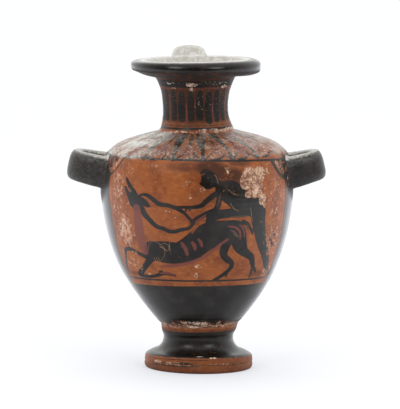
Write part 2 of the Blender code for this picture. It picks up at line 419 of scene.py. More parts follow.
@dataclass(frozen=True)
class Lean:
    """The jar sits a little askew on its foot, with the bend in the stem."""

    angle: float = 1.4
    start: float = 13.0
    end: float = 20.0
    level: float = 112.6

    def applied(self, points: Array) -> Array:
        """Points turned to -X about the bend, then centred between the side handles.

        The turning angle grows smoothly from nothing to its full size across the bend.
        """
        share = smoothstep(self.start, self.end, points[:, 2])
        angle = math.radians(self.angle) * share
        across, rise = points[:, 0], points[:, 2] - self.start
        shift = (self.level - self.start) * math.sin(math.radians(self.angle))
        x = across * np.cos(angle) - rise * np.sin(angle) + shift
        z = self.start + rise * np.cos(angle) + across * np.sin(angle)
        return np.column_stack([x, points[:, 1], z])


# ---------------------------------------------------------------- the skin as one mesh


class Chart(Enum):
    """The unrolled pieces of the skin, for its UV map."""

    WALL = 0
    LEFT_LOOP = 1
    RIGHT_LOOP = 2
    STRAP = 3


def grid_faces(rows: Array, closed: bool) -> Array:
    """The (row, column, 4) faces between rows of point numbers, joined round where closed."""
    if closed:
        rows = np.column_stack([rows, rows[:, :1]])
    return np.stack([rows[:-1, :-1], rows[:-1, 1:], rows[1:, 1:], rows[1:, :-1]], axis=-1)


def zipped(a: Array, ta: Array, b: Array, tb: Array) -> Array:
    """Triangles that join two rows of points, each in rising order of its own parameter.

    Both rows are walked together: whichever has the next edge whose middle comes first steps on,
    and each step makes one triangle.

    Args:
        a: point numbers of the first row.
        ta: its parameter.
        b: point numbers of the second row.
        tb: its parameter.

    Returns:
        (n, 3) point numbers.
    """
    middles = np.concatenate([0.5 * (ta[1:] + ta[:-1]), 0.5 * (tb[1:] + tb[:-1])])
    on_first = np.arange(len(middles)) < len(a) - 1
    on_first = on_first[np.argsort(middles, kind="stable")]
    i, j = np.cumsum(on_first), np.cumsum(~on_first)
    first = np.column_stack([a[i - 1], b[j], a[i]])
    second = np.column_stack([a[i], b[j - 1], b[j]])
    return np.where(on_first[:, None], first, second)


def zipped_rings(a: Array, ta: Array, b: Array, tb: Array, period: float) -> Array:
    """As zipped, for two closed rings whose parameter comes round again after `period`."""
    order_a, order_b = np.argsort(ta % period), np.argsort(tb % period)
    a, ta, b, tb = a[order_a], (ta % period)[order_a], b[order_b], (tb % period)[order_b]
    close = lambda row, t: (np.append(row, row[0]), np.append(t, t[0] + period))
    return zipped(*close(a, ta), *close(b, tb))


class Skin:
    """Gathers points and faces, and makes one closed mesh of them."""

    def __init__(self, wall: Wall) -> None:
        """Starts an empty skin on this wall."""
        self.wall = wall
        names = ("point", "phi", "s", "around", "along", "bar")
        self.columns: dict[str, list[Array]] = {name: [] for name in names}
        self.faces: list[tuple[Array, Chart]] = []
        self.count = 0

    def add(self, points: Array, phi: Array, s: Array, around: Array, along: Array, bar: float) -> Array:
        """Adds points with their places on the wall and on a bar.

        Args:
            points: (n, 3) in mm.
            phi: angles on the wall.
            s: arc lengths on the wall.
            around: share of the way round a bar, 0 to 1.
            along: mm along a bar.
            bar: 1 where the point belongs to a bar and not to the wall.

        Returns:
            The new points' numbers.
        """
        n = len(points)
        values = (points, phi, s, around, along, np.full(n, bar))
        for name, value in zip(self.columns, values):
            self.columns[name].append(np.broadcast_to(value, (n, 3) if name == "point" else (n,)))
        self.count += n
        return np.arange(self.count - n, self.count)

    def add_wall(self, phi: Array, s: Array) -> Array:
        """Adds points of the uneven wall at these angles and arc lengths."""
        points, normals, _, _ = self.wall.frame(phi, s)
        points = points + normals * self.wall.unevenness(phi, s)[:, None]
        zero = np.zeros(len(phi))
        return self.add(points, phi, s, zero, zero, 0.0)

    def net(self, phi: Array, s: Array, closed: bool, holes: tuple["Root", ...] = ()) -> Array:
        """Lays a net of rows and columns on the wall, with openings where the bars' roots go.

        Args:
            phi: column angles in rising order.
            s: row arc lengths in rising order.
            closed: whether the last column joins the first.
            holes: roots that stand on this net.

        Returns:
            (rows, columns) numbers of its points.
        """
        grid_s, grid_phi = np.meshgrid(s, phi, indexing="ij")
        index = self.add_wall(grid_phi.ravel(), grid_s.ravel()).reshape(grid_s.shape)
        quads = grid_faces(index, closed)
        keep = np.ones(quads.shape[:2], bool)
        for root in holes:
            top = np.searchsorted(s, root.s - root.reach_s, "right") - 1
            bottom = np.searchsorted(s, root.s + root.reach_s)
            left = np.searchsorted(phi, root.phi - root.reach_phi, "right") - 1
            right = np.searchsorted(phi, root.phi + root.reach_phi)
            if top < 0 or bottom >= len(s):
                raise ValueError(f"the root at {root.phi:.0f} degrees runs off its belt")
            keep[top:bottom, left:right] = False
            root.opening = np.concatenate([
                index[top, left:right], index[top:bottom, right],
                index[bottom, right:left:-1], index[bottom:top:-1, left],
            ])
        self.faces.append((quads[keep], Chart.WALL))
        return index

    def join(self, upper: tuple[Array, Array], lower: tuple[Array, Array]) -> None:
        """Zips two rings of the wall, each given as point numbers and angles."""
        self.faces.append((zipped_rings(*upper, *lower, FULL_TURN), Chart.WALL))

    def cap(self, ring: Array, s: float) -> None:
        """Closes a ring on the axis with a fan of triangles."""
        pole = self.add_wall(np.zeros(1), np.array([s]))
        fan = np.column_stack([ring, np.roll(ring, -1), np.full(len(ring), pole[0])])
        self.faces.append((fan, Chart.WALL))

    def values(self, name: str) -> Array:
        """One column of the points' values."""
        return np.concatenate(self.columns[name])

    def drop_unused(self) -> None:
        """Leaves out the points inside the openings, which no face uses, and numbers the rest again."""
        used = np.zeros(self.count, bool)
        for block, _ in self.faces:
            used[block.ravel()] = True
        number = np.cumsum(used) - 1
        self.faces = [(number[block], chart) for block, chart in self.faces]
        self.columns = {name: [self.values(name)[used]] for name in self.columns}
        self.count = int(used.sum())

    def set_root(self, root: "Root", ring: Array) -> None:
        """Zips a bar's first ring into the opening left for its root."""
        phi, s = self.values("phi"), self.values("s")

        def turn(numbers: Array) -> Array:
            """Angle round the root's centre, with its reach as the unit each way."""
            across, up = phi[numbers] - root.phi, s[numbers] - root.s
            return np.arctan2(up / root.reach_s, across / root.reach_phi)

        strip = zipped_rings(root.opening, turn(root.opening), ring, turn(ring), 2.0 * math.pi)
        self.faces.append((strip, Chart.WALL))

    def tube(self, rings: Array, chart: Chart) -> None:
        """Adds the faces between rings of points, (rings, points) numbers."""
        self.faces.append((grid_faces(rings, True).reshape(-1, 4), chart))


# ---------------------------------------------------------------- handles


@dataclass
class Root:
    """Where a bar grows out of the wall.

    Args:
        phi: angle of its centre, degrees.
        s: arc length of its centre, mm.
        half: half size of its footprint round the wall and along the profile, mm.
        turn: 1 where the bar's first side faces rising angles, else -1.
        flip: 1 where its second side faces rising arc lengths, else -1.
        radius: wall radius there, mm.
    """

    phi: float
    s: float
    half: Pair
    turn: float
    flip: float
    radius: float
    margin: float = 0.35
    opening: Array = field(default_factory=lambda: np.zeros(0, int))

    @property
    def reach_phi(self) -> float:
        """Half size of the opening that it needs, in degrees."""
        return math.degrees((self.half[0] + self.margin) / self.radius)

    @property
    def reach_s(self) -> float:
        """Half size of the opening that it needs along the profile, in mm."""
        return self.half[1] + self.margin


@dataclass
class Bar:
    """A hand-shaped bar carried along a centre line, with a fillet at both roots.

    Args:
        chart: its own place in the UV map.
        centre: (n, 3) centre line, from the wall at one end to the wall at the other.
        first: (n, 3) directions of the section's first axis.
        second: (n, 3) directions of its second axis.
        size: section size along the two axes, mm.
        squareness: 2 for an ellipse, more for a boxier section.
        swell: (n,) growth of the section along the line.
        roots: the two roots.
        clear: mm from each end of the centre line to the bar's first full section.
    """

    chart: Chart
    centre: Array
    first: Array
    second: Array
    size: Pair
    squareness: float
    swell: Array
    roots: tuple[Root, Root]
    clear: Pair
    sides: int = 38
    fillet_rings: int = 7
    spacing: float = 1.35

    def section(self, at: Array) -> tuple[Array, Array]:
        """Section rings and line directions at these distances along the centre line.

        Returns:
            (rings, sides, 3) points and (rings, 3) directions.
        """
        along = arc_length(self.centre)
        read = lambda table: np.column_stack([np.interp(at, along, column) for column in table.T])
        centre, first, second = read(self.centre), read(self.first), read(self.second)
        direction = read(np.gradient(self.centre, along, axis=0))
        outline = oblong(*self.size, self.squareness, self.sides)
        grown = 1.0 + np.interp(at, along, self.swell)[:, None, None]
        ring = first[:, None] * outline[None, :, :1] + second[:, None] * outline[None, :, 1:]
        points = centre[:, None] + grown * ring
        flat = points.reshape(-1, 3)
        outward = (ring / np.linalg.norm(ring, axis=2, keepdims=True)).reshape(-1, 3)
        uneven = 0.16 * lattice_noise(flat, 9.0, 21) + 0.05 * lattice_noise(flat, 3.0, 22)
        return (flat + outward * uneven[:, None]).reshape(points.shape), direction

    def footprint(self, root: Root) -> tuple[Array, Array]:
        """Angles and arc lengths of the ring in which the fillet meets the wall."""
        outline = oblong(2.0 * root.half[0], 2.0 * root.half[1], self.squareness, self.sides)
        phi = root.phi + root.turn * np.degrees(outline[:, 0] / root.radius)
        return phi, root.s + root.flip * outline[:, 1]

    def fillet(self, wall_ring: Array, normals: Array, ring: Array, direction: Array) -> Array:
        """Rings between the wall and the bar: a Hermite curve that leaves along the wall.

        Args:
            wall_ring: (sides, 3) points on the wall.
            normals: (sides, 3) wall directions there.
            ring: (sides, 3) the bar's first full section.
            direction: the bar's direction away from the wall.

        Returns:
            (fillet_rings - 1, sides, 3) points, without both ends.
        """
        gap = ring - wall_ring
        length = np.linalg.norm(gap, axis=1, keepdims=True)
        leave = gap - np.sum(gap * normals, axis=1, keepdims=True) * normals
        leave = leave / np.linalg.norm(leave, axis=1, keepdims=True) * length
        arrive = direction[None] * length
        t = np.linspace(0.0, 1.0, self.fillet_rings + 1)[1:-1, None, None]
        return (
            (2 * t ** 3 - 3 * t ** 2 + 1) * wall_ring + (t ** 3 - 2 * t ** 2 + t) * leave
            + (3 * t ** 2 - 2 * t ** 3) * ring + (t ** 3 - t ** 2) * arrive
        )

    def build(self, skin: Skin) -> None:
        """Adds the bar to the skin and zips both its roots into the wall."""
        length = arc_length(self.centre)[-1]
        low, high = self.clear[0], length - self.clear[1]
        at = np.linspace(low, high, max(3, round((high - low) / self.spacing)))
        body, direction = self.section(at)
        footprints, wall_rings, fillets = [], [], []
        both = zip(self.roots, (body[0], body[-1]), (direction[0], -direction[-1]))
        for root, ring, away in both:
            phi, s = self.footprint(root)
            footprints.append(skin.add_wall(phi, s))
            wall_rings.append(skin.columns["point"][-1][None])
            _, normals, _, _ = skin.wall.frame(phi, s)
            fillets.append(self.fillet(wall_rings[-1][0], normals, ring, away))
            skin.set_root(root, footprints[-1])
        free = np.concatenate([fillets[0], body, fillets[1][::-1]])
        rings = np.concatenate([wall_rings[0], free, wall_rings[1]])
        steps = np.linalg.norm(np.diff(rings, axis=0), axis=2).mean(axis=1)
        travelled = np.concatenate([[0.0], np.cumsum(steps)])
        around = np.broadcast_to(np.arange(self.sides) / self.sides, free.shape[:2]).ravel()
        along = np.repeat(travelled[1:-1], self.sides)
        first = self.roots[0]
        index = skin.add(free.reshape(-1, 3), first.phi, first.s, around, along, 1.0)
        for numbers, place in zip(footprints, (0.0, travelled[-1])):
            self.mark_ring(skin, int(numbers[0]), place)
        skin.tube(np.vstack([footprints[0], index.reshape(free.shape[:2]), footprints[1]]), self.chart)

    def mark_ring(self, skin: Skin, start: int, along: float) -> None:
        """Gives the footprint ring that starts at this point its places on the bar."""
        offset = 0
        for k, block in enumerate(skin.columns["phi"]):
            if offset == start:
                skin.columns["around"][k] = np.arange(self.sides) / self.sides
                skin.columns["along"][k] = np.full(self.sides, along)
                return
            offset += len(block)


@dataclass(frozen=True)
class SideLoop:
    """One of the two horizontal handles: half of a squarish oval, tilted up at its outer end."""

    side: int
    reach: float
    start: float = 44.0
    hinge: float = 53.0
    half_width: float = 11.9
    height: float = 112.6
    uneven: float = 0.8
    tilt: float = 13.0
    size: Pair = (8.6, 17.4)
    squareness: float = 3.0
    root_swell: float = 0.11
    end_thinning: float = 0.04
    fillet: Pair = (2.2, 1.4)
    rise: float = 2.8
    root_angle: float = 12.4

    def roots(self, wall: Wall) -> tuple[Root, Root]:
        """The two roots, at equal angles to both sides of the handle's middle."""
        middle = 90.0 if self.side > 0 else 270.0
        s = float(wall.profile.place_of_height(self.height - self.side * self.uneven))
        radius = float(wall.profile.at(np.array([s]))[0][0])
        half = tuple(0.525 * width + fillet for width, fillet in zip(self.size, self.fillet))
        return tuple(
            Root(middle + sign * self.root_angle, s, half, sign, -1.0, radius) for sign in (-1.0, 1.0)
        )

    def bar(self, wall: Wall) -> Bar:
        """The loop's centre line is x = L cos^(2/n), y = W sin^(2/n), tilted about its root."""
        angle = np.linspace(-0.5 * math.pi, 0.5 * math.pi, 721)
        length = self.reach - self.start
        bow = 2.0 / self.squareness
        x = length * np.abs(np.cos(angle)) ** bow
        y = self.half_width * np.sign(np.sin(angle)) * np.abs(np.sin(angle)) ** bow
        flat = resampled(np.column_stack([x, y]), 241)
        flat = flat[self.start + flat[:, 0] > self.hinge - 0.2]
        along = directions(flat)
        tilt = math.radians(self.tilt)
        out, up = np.array([math.cos(tilt), math.sin(tilt)]), np.array([-math.sin(tilt), math.cos(tilt)])
        place = flat[:, 0] + self.start - self.hinge
        level = self.height - self.side * self.uneven
        centre = np.column_stack([self.hinge + place * out[0], flat[:, 1], level + place * out[1]])
        normal = np.column_stack([along[:, 1] * out[0], -along[:, 0], along[:, 1] * out[1]])
        second = np.broadcast_to(np.array([up[0], 0.0, up[1]]), centre.shape)
        share = flat[:, 0] / length
        swell = self.root_swell * (1.0 - share) ** 1.5 - self.end_thinning * share ** 2
        facing = np.array([self.side, self.side, 1.0])
        chart = Chart.RIGHT_LOOP if self.side > 0 else Chart.LEFT_LOOP
        return Bar(chart, centre * facing, normal * facing, second * facing, self.size, self.squareness,
                   swell, self.roots(wall), (self.rise, self.rise))


@dataclass(frozen=True)
class BackStrap:
    """The upright handle from the lip to the shoulder at the back."""

    phi: float = 185.2
    stations: tuple[Pair, ...] = (
        (35.0, 176.1), (40.2, 176.6), (46.0, 173.2), (49.6, 165.6), (50.3, 155.6),
        (48.8, 144.6), (46.0, 136.0), (42.0, 127.6),
    )
    size: Pair = (18.4, 7.6)
    squareness: float = 2.2
    lip_root: Pair = (11.2, 4.6)
    shoulder_root: Pair = (11.4, 6.0)
    lip_clear: float = 3.2
    rise: float = 3.2

    def line(self, wall: Wall) -> Array:
        """Centre line as (radius, height), cut off where it meets the shoulder."""
        path = resampled(smooth(np.array(self.stations)), 400)
        low, high = wall.profile.bounds[Band.SHOULDER]
        inside = (wall.profile.s >= low) & (wall.profile.s <= high)
        surface = np.interp(path[:, 0], wall.profile.r[inside], wall.profile.z[inside])
        return path[path[:, 1] > surface]

    def roots(self, wall: Wall) -> tuple[Root, Root]:
        """The upper root on the edge of the lip, and the lower one on the shoulder."""
        profile = wall.profile
        low, high = profile.bounds[Band.LIP]
        rim = low + 0.9 + self.lip_root[1]
        foot_radius = float(self.line(wall)[-1, 0])
        low, high = profile.bounds[Band.SHOULDER]
        inside = (profile.s >= low) & (profile.s <= high)
        shoulder = float(np.interp(foot_radius, profile.r[inside], profile.s[inside]))
        return (
            Root(self.phi, rim, self.lip_root, 1.0, -1.0, 35.0),
            Root(self.phi, shoulder, self.shoulder_root, 1.0, 1.0, foot_radius),
        )

    def bar(self, wall: Wall) -> Bar:
        """The line lies in an upright plane; the section's long side crosses that plane."""
        line = self.line(wall)
        along = directions(line)
        angle = math.radians(self.phi)
        out = np.array([math.sin(angle), -math.cos(angle)])
        across = np.array([math.cos(angle), math.sin(angle), 0.0])
        centre = np.column_stack([line[:, :1] * out, line[:, 1]])
        second = np.column_stack([-along[:, 1:] * out, along[:, 0]])
        first = np.broadcast_to(across, centre.shape)
        return Bar(Chart.STRAP, centre, first, second, self.size, self.squareness, np.zeros(len(line)),
                   self.roots(wall), (self.lip_clear, self.rise))


# ---------------------------------------------------------------- the jar's skin


def ring_columns(count: int, front_share: float = 1.0) -> Array:
    """Column angles from 0 up to 360, closer together in front, with one at 0 and one at 180.

    With t going evenly from -1 to 1, the angle is 180 (a t + (1 - a) t^3), where a is the spacing
    in front as a share of the even spacing.

    Args:
        count: an even number of columns.
        front_share: a.

    Returns:
        Rising angles in degrees.
    """
    t = -1.0 + 2.0 * np.arange(count) / count
    return np.sort(180.0 * (front_share * t + (1.0 - front_share) * t ** 3) % FULL_TURN)


def signed_angle(phi: Array) -> Array:
    """Angles brought to the range from -180 to 180."""
    return (np.asarray(phi) + 180.0) % FULL_TURN - 180.0


@dataclass
class Vessel:
    """The jar as one closed skin: belts of the wall zipped together, and the three handles."""

    wall: Wall = field(default_factory=Wall)
    lean: Lean = field(default_factory=Lean)
    front_edge: float = 64.0
    sharp_edge: float = 52.0
    fine_column: float = 0.45
    side_column: float = 0.90
    back_column: float = 1.8
    back_row: float = 1.8
    columns: dict[Band, tuple[int, float]] = field(default_factory=lambda: {
        Band.INSIDE: (48, 1.0), Band.LIP: (144, 0.8), Band.NECK: (176, 0.62), Band.SHOULDER: (240, 0.6),
        Band.LOWER: (190, 0.75), Band.FOOT: (150, 0.8), Band.UNDER: (60, 1.0),
    })

    def skin(self) -> Skin:
        """Builds the whole skin, upright and in mm."""
        skin = Skin(self.wall)
        profile = self.wall.profile
        bars = [
            SideLoop(-1, 68.8).bar(self.wall), SideLoop(1, 68.2).bar(self.wall), BackStrap().bar(self.wall),
        ]
        strap = bars[2]
        holes = {Band.LIP: (strap.roots[0],), Band.SHOULDER: (strap.roots[1],)}
        rings = []
        for band in Band:
            if band is Band.BELLY:
                rings += self.belly(skin, bars[0].roots + bars[1].roots)
                continue
            phi = ring_columns(*self.columns[band])
            net = skin.net(phi, profile.rows(band), True, holes.get(band, ()))
            rings += [(net[0], phi), (net[-1], phi)]
        for upper, lower in zip(rings[1:-1:2], rings[2::2]):
            skin.join(upper, lower)
        skin.cap(rings[0][0], 0.0)
        skin.cap(rings[-1][0], float(profile.s[-1]))
        for bar in bars:
            bar.build(skin)
        skin.drop_unused()
        return skin

    def belly(self, skin: Skin, roots: tuple[Root, ...]) -> list[tuple[Array, Array]]:
        """The painted front as a fine net and the rest as a coarser one, zipped along both edges.

        Args:
            skin: the skin to add to.
            roots: the side handles' roots, all on the coarser net.

        Returns:
            The belt's first and last ring as point numbers and angles.
        """
        profile = self.wall.profile
        radius = float(profile.r[(profile.s > profile.bounds[Band.BELLY][0])].max())
        per_mm = math.degrees(1.0 / radius)
        at = np.array([0.0, self.sharp_edge, self.sharp_edge + 2.0, self.front_edge])
        spacing = per_mm * np.array([self.fine_column, self.fine_column, self.side_column, self.side_column])
        half = stations_between(0.0, self.front_edge, spacing, at)
        front_phi = np.concatenate([-half[::-1], half])
        gap = 1.2 * per_mm
        back_count = 2 * round((180.0 - self.front_edge - gap) / self.back_column) + 1
        back_phi = np.linspace(self.front_edge + gap, FULL_TURN - self.front_edge - gap, back_count)
        fine, coarse = profile.rows(Band.BELLY), profile.rows(Band.BELLY, self.back_row)
        front = skin.net(front_phi, fine, False)
        back = skin.net(back_phi, coarse, False, roots)
        for edge, other in ((-1, 0), (0, -1)):
            seam = zipped(front[:, edge], fine, back[:, other], coarse)
            skin.faces.append((seam, Chart.WALL))
        phi = np.concatenate([front_phi, back_phi])
        return [(np.concatenate([front[row], back[row]]), phi) for row in (0, -1)]

    def placed(self, points: Array) -> Array:
        """Points swayed, leaned and turned from millimetres into metres."""
        return MM * self.lean.applied(self.wall.swayed(points))


@dataclass(frozen=True)
class Unrolled:
    """Where each part of the skin lies on the unit square of its UV map.

    The outside has the upper part, with its painted front given more than half of the width. The
    inside, the underside and the three handles share a strip below it.
    """

    front: float = 70.0
    front_width: float = 0.56
    outside: Pair = (0.235, 0.995)
    strip: Pair = (0.005, 0.225)
    inside_span: Pair = (0.005, 0.35)
    under_span: Pair = (0.36, 0.46)
    bar_spans: tuple[Pair, ...] = ((0.47, 0.64), (0.65, 0.82), (0.83, 0.995))

    def across(self, phi: Array) -> Array:
        """Share of the width for an angle from -180 to 180."""
        side = 0.5 * (1.0 - self.front_width)
        return np.interp(phi, [-180.0, -self.front, self.front, 180.0], [0.0, side, 1.0 - side, 1.0])

    def place(self, share: Array, span: Pair) -> Array:
        """A share from 0 to 1 placed in a span."""
        return span[0] + (span[1] - span[0]) * np.clip(share, 0.0, 1.0)

    def loops(self, mesh: bpy.types.Mesh, skin: Skin, charts: Array) -> Array:
        """The UV of each face corner.

        Args:
            mesh: the finished mesh.
            skin: its points' places.
            charts: number of the chart of each face.

        Returns:
            (corners, 2) places on the unit square.
        """
        corner = np.empty(len(mesh.loops), np.int32)
        mesh.loops.foreach_get("vertex_index", corner)
        total = np.empty(len(mesh.polygons), np.int32)
        mesh.polygons.foreach_get("loop_total", total)
        face = np.repeat(np.arange(len(total)), total)
        start = np.concatenate([[0], np.cumsum(total)[:-1]])
        mean = lambda values: (np.add.reduceat(values, start) / total)[face]
        profile = skin.wall.profile
        s = skin.values("s")[corner]
        pole = profile.at(s)[0] < 0.01
        phi = skin.values("phi")[corner]
        first = phi[np.where(pole[start], start + 1, start)][face]
        phi = first + signed_angle(phi - first)
        phi = np.where(pole, np.add.reduceat(np.where(pole, 0.0, phi), start)[face] / 2.0, phi)
        phi = phi - FULL_TURN * np.round(mean(phi) / FULL_TURN)
        u, middle = self.across(phi), mean(s)
        inner, outer = profile.bounds[Band.LIP][0], profile.bounds[Band.FOOT][1]
        end = profile.s[-1]
        inside, under = middle < inner, middle > outer
        v = self.place((outer - s) / (outer - inner), self.outside)
        v = np.where(inside, self.place(s / inner, self.strip), v)
        v = np.where(under, self.place((end - s) / (end - outer), self.strip), v)
        flat = (phi + 180.0) / FULL_TURN
        u = np.where(inside, self.place(flat, self.inside_span), u)
        u = np.where(under, self.place(flat, self.under_span), u)
        around, along = skin.values("around")[corner], skin.values("along")[corner]
        around = np.where(around < mean(around) - 0.25, around + 1.0, around)
        chart = charts[face]
        for number, span in enumerate(self.bar_spans, start=1):
            here = chart == number
            u = np.where(here, self.place(around, span), u)
            v = np.where(here, self.place(along / max(1.0, along[here].max()), self.strip), v)
        return np.column_stack([u, v])


# ---------------------------------------------------------------- drawing on the skin


class Ink(Enum):
    """The fields drawn on the skin, by the name of the attribute that carries each."""

    SLIP = "slip"
    PURPLE = "purple"
    INCISED = "incised"
    WORN = "worn"
    LOSS = "loss"
    CRUST = "crust"
    # darker layer: the clay's own tone in places, painted shade on the neck under the lip and along the
    # foot's bottom edge
    HAZE_AND_SHADE = "haze"
    # pale layer: partly a deposit, partly painted sheen and reflection on the mouth, rim, handle tops and
    # shoulder
    DUST_AND_SHEEN = "dust"


@dataclass(frozen=True)
class Stroke:
    """One stroke of the brush or of the point.

    Args:
        stations: (angle in degrees, height in mm, width in mm) along it.
        ink: what it lays down.
        clears: whether it takes that ink away instead.
    """

    stations: Line
    ink: Ink = Ink.SLIP
    clears: bool = False


Strokes = tuple[Stroke, ...]


class Canvas:
    """The skin's points as a surface to draw on.

    Each drawn ink has a field of signed distances in mm, positive inside the ink. Distances are
    measured on the unrolled wall: the radius times the angle across, and the arc length along.
    """

    blank: float = -4.0

    def __init__(self, skin: Skin) -> None:
        """Starts with every field blank."""
        profile = skin.wall.profile
        self.profile = profile
        self.phi = signed_angle(skin.values("phi"))
        self.s = skin.values("s")
        self.bar = skin.values("bar") > 0.5
        self.r, self.z = profile.at(self.s)
        self.points = skin.values("point")
        low, high = profile.bounds[Band.LIP][0], profile.bounds[Band.FOOT][1]
        self.outside = ~self.bar & (self.s > low) & (self.s < high)
        drawn = (Ink.SLIP, Ink.PURPLE, Ink.INCISED)
        self.field = {ink: np.full(skin.count, self.blank) for ink in drawn}
        self.amount = {ink: np.zeros(skin.count) for ink in Ink if ink not in drawn}

    def lay(self, ink: Ink, where: Array, distance: Array, clears: bool = False) -> None:
        """Joins a shape to a field at the points reached, or cuts it out where it clears.

        The distances are signed, and positive inside the shape.
        """
        held = self.field[ink][where]
        self.field[ink][where] = np.minimum(held, -distance) if clears else np.maximum(held, distance)

    def draw(self, stroke: Stroke) -> None:
        """Draws a stroke: a chain of tapering capsules along a smooth path.

        The distance inside a capsule is its half width at the nearest place of its centre line,
        less the distance from that place.
        """
        stations = np.array(stroke.stations, float)
        stations[:, 1] = self.profile.place_of_height(stations[:, 1])
        path = smooth(stations, 7) if len(stations) > 2 else stations
        reach = 0.5 * path[:, 2].max() - self.blank
        radius = float(self.profile.at(path[:, 1])[0].mean())
        middle = float(path[:, 0].mean())
        offset = signed_angle(self.phi - middle)
        spread = np.degrees(reach / radius)
        low, high = path.min(axis=0), path.max(axis=0)
        near = (offset > low[0] - middle - spread) & (offset < high[0] - middle + spread)
        near &= self.outside & (self.s > low[1] - reach) & (self.s < high[1] + reach)
        where = np.flatnonzero(near)
        scale = np.radians(self.r[where])[:, None]
        x = (offset[where, None] + middle - path[None, :-1, 0]) * scale
        y = self.s[where, None] - path[None, :-1, 1]
        dx, dy = np.diff(path[:, 0])[None] * scale, np.diff(path[:, 1])[None]
        share = np.clip((x * dx + y * dy) / np.maximum(dx * dx + dy * dy, 1e-9), 0.0, 1.0)
        width = path[None, :-1, 2] + share * np.diff(path[:, 2])[None]
        inside = 0.5 * width - np.hypot(x - share * dx, y - share * dy)
        self.lay(stroke.ink, where, inside.max(axis=1), stroke.clears)

    def spot(self, ink: Ink, phi: float, height: float, size: Pair, strength: float = 1.0) -> None:
        """Adds a soft-edged oval patch of wear, loss, crust, haze or dust.

        Its size is its half width and half height in mm, and its strength the amount in its middle.
        """
        across = np.radians(signed_angle(self.phi - phi)) * self.r / size[0]
        up = (self.s - float(self.profile.place_of_height(height))) / size[1]
        amount = strength * fading(0.35, 1.0, np.hypot(across, up) * 0.8) * self.outside
        self.amount[ink] = np.maximum(self.amount[ink], amount)

    def add(self, ink: Ink, amount: Array) -> None:
        """Raises a field of wear, loss, crust, haze or dust to at least this amount."""
        self.amount[ink] = np.maximum(self.amount[ink], np.clip(amount, 0.0, 1.0))

    def ring(self, ink: Ink, height: Array, width: float, clears: bool = False) -> None:
        """Draws a line right round the jar, at one height or at one for every point of the skin."""
        where = np.flatnonzero(self.outside)
        level = np.broadcast_to(height, self.z.shape)[where]
        inside = 0.5 * width - np.abs(self.s[where] - self.profile.place_of_height(level))
        self.lay(ink, where, inside, clears)


def strokes(ink: Ink, *lines: Line, clears: bool = False) -> Strokes:
    """Several strokes in the same ink."""
    return tuple(Stroke(line, ink, clears) for line in lines)


@dataclass(frozen=True)
class Corner:
    """An arc round a handle's root that cuts a corner off the panel.

    It is a black line `line` mm wide with a pale strip `pale` mm wide inside it.
    """

    phi: float
    height: float
    radius: float
    line: float
    pale: float


@dataclass(frozen=True)
class Panel:
    """The reserved field on the front of the belly, with a ruled line above and below it.

    Its two upper corners are cut by arcs round the roots of the side handles. Lengths are in mm.
    """

    left: float = -63.8
    right: float = 65.2
    corners: tuple[Corner, ...] = (
        Corner(-67.0, 124.0, 12.6, 1.3, 3.2), Corner(67.0, 122.0, 13.2, 2.4, 0.9),
    )
    shoulder_width: float = 1.35
    ground_width: float = 1.1
    side_line: float = 1.0
    side_gap: float = 1.9

    def shoulder_line(self, phi: Array) -> Array:
        """Height of the upper line, which falls from left to right and droops at both sides."""
        return 123.3 - 0.028 * phi - 1.6 * (1.0 - np.cos(np.radians(phi)))

    def ground_line(self, phi: Array) -> Array:
        """Height of the line on which the figures stand."""
        return 55.2 - 1.2 * (1.0 - np.cos(np.radians(phi + 25.0)))

    def lower_edge(self, phi: Array) -> Array:
        """Height at which the black of the lower body begins."""
        return 51.9 - 1.6 * (1.0 - np.cos(np.radians(phi + 8.0)))

    def draw(self, canvas: Canvas) -> None:
        """Blackens all that lies outside the panel and rules its lines."""
        place = canvas.profile.place_of_height
        phi, s, r = canvas.phi, canvas.s, canvas.r
        inside = np.minimum(np.radians(phi - self.left) * r, np.radians(self.right - phi) * r)
        inside = np.minimum(inside, place(self.lower_edge(phi)) - s)
        below = s > place(self.shoulder_line(phi))
        arcs = []
        for corner in self.corners:
            gap = np.hypot(np.radians(phi - corner.phi) * r, s - float(place(corner.height)))
            inner = corner.radius - corner.line
            inside = np.minimum(inside, gap - (inner - corner.pale))
            arcs.append(0.5 * corner.line - np.abs(gap - inner - 0.5 * corner.line))
            near = below * (np.abs(phi - corner.phi) < 30.0) * canvas.outside
            band = smoothstep(0.0, 0.8, inner - gap) * near
            canvas.add(Ink.WORN, 0.95 * band)
            canvas.add(Ink.HAZE_AND_SHADE, 0.6 * smoothstep(2.4, 4.0, inner - gap) * band)
        where = np.flatnonzero(canvas.outside & below & (canvas.z < 126.0) & (canvas.z > 26.0))
        canvas.lay(Ink.SLIP, where, -inside[where])
        where = np.flatnonzero(canvas.outside & below & (np.abs(phi) < 75.0) & (canvas.z > 90.0))
        canvas.lay(Ink.SLIP, where, np.maximum(*arcs)[where])
        shoulder = np.where(np.abs(phi) < 100.0, self.shoulder_line(phi), 121.0)
        canvas.ring(Ink.SLIP, shoulder, self.shoulder_width)
        ground = np.flatnonzero(canvas.outside & (phi > self.left) & (phi < self.right))
        line = 0.5 * self.ground_width - np.abs(s - place(self.ground_line(phi)))
        canvas.lay(Ink.SLIP, ground, line[ground])
        for edge in (self.left - self.side_gap, self.right + self.side_gap):
            line = tuple((edge, height, self.side_line) for height in (56.0, 75.0, 95.0, 108.0))
            canvas.draw(Stroke(line, Ink.PURPLE))


@dataclass(frozen=True)
class Figure:
    """Something painted in the panel: black strokes, then clearings, added red and scratched lines."""

    horns: Strokes = ()
    legs: Strokes = ()
    body: Strokes = ()
    reserved: Strokes = ()
    purple: Strokes = ()
    incised: Strokes = ()

    def draw(self, canvas: Canvas) -> None:
        """Draws the strokes layer by layer."""
        for layer in (self.horns, self.legs, self.body, self.reserved, self.purple, self.incised):
            for stroke in layer:
                canvas.draw(stroke)


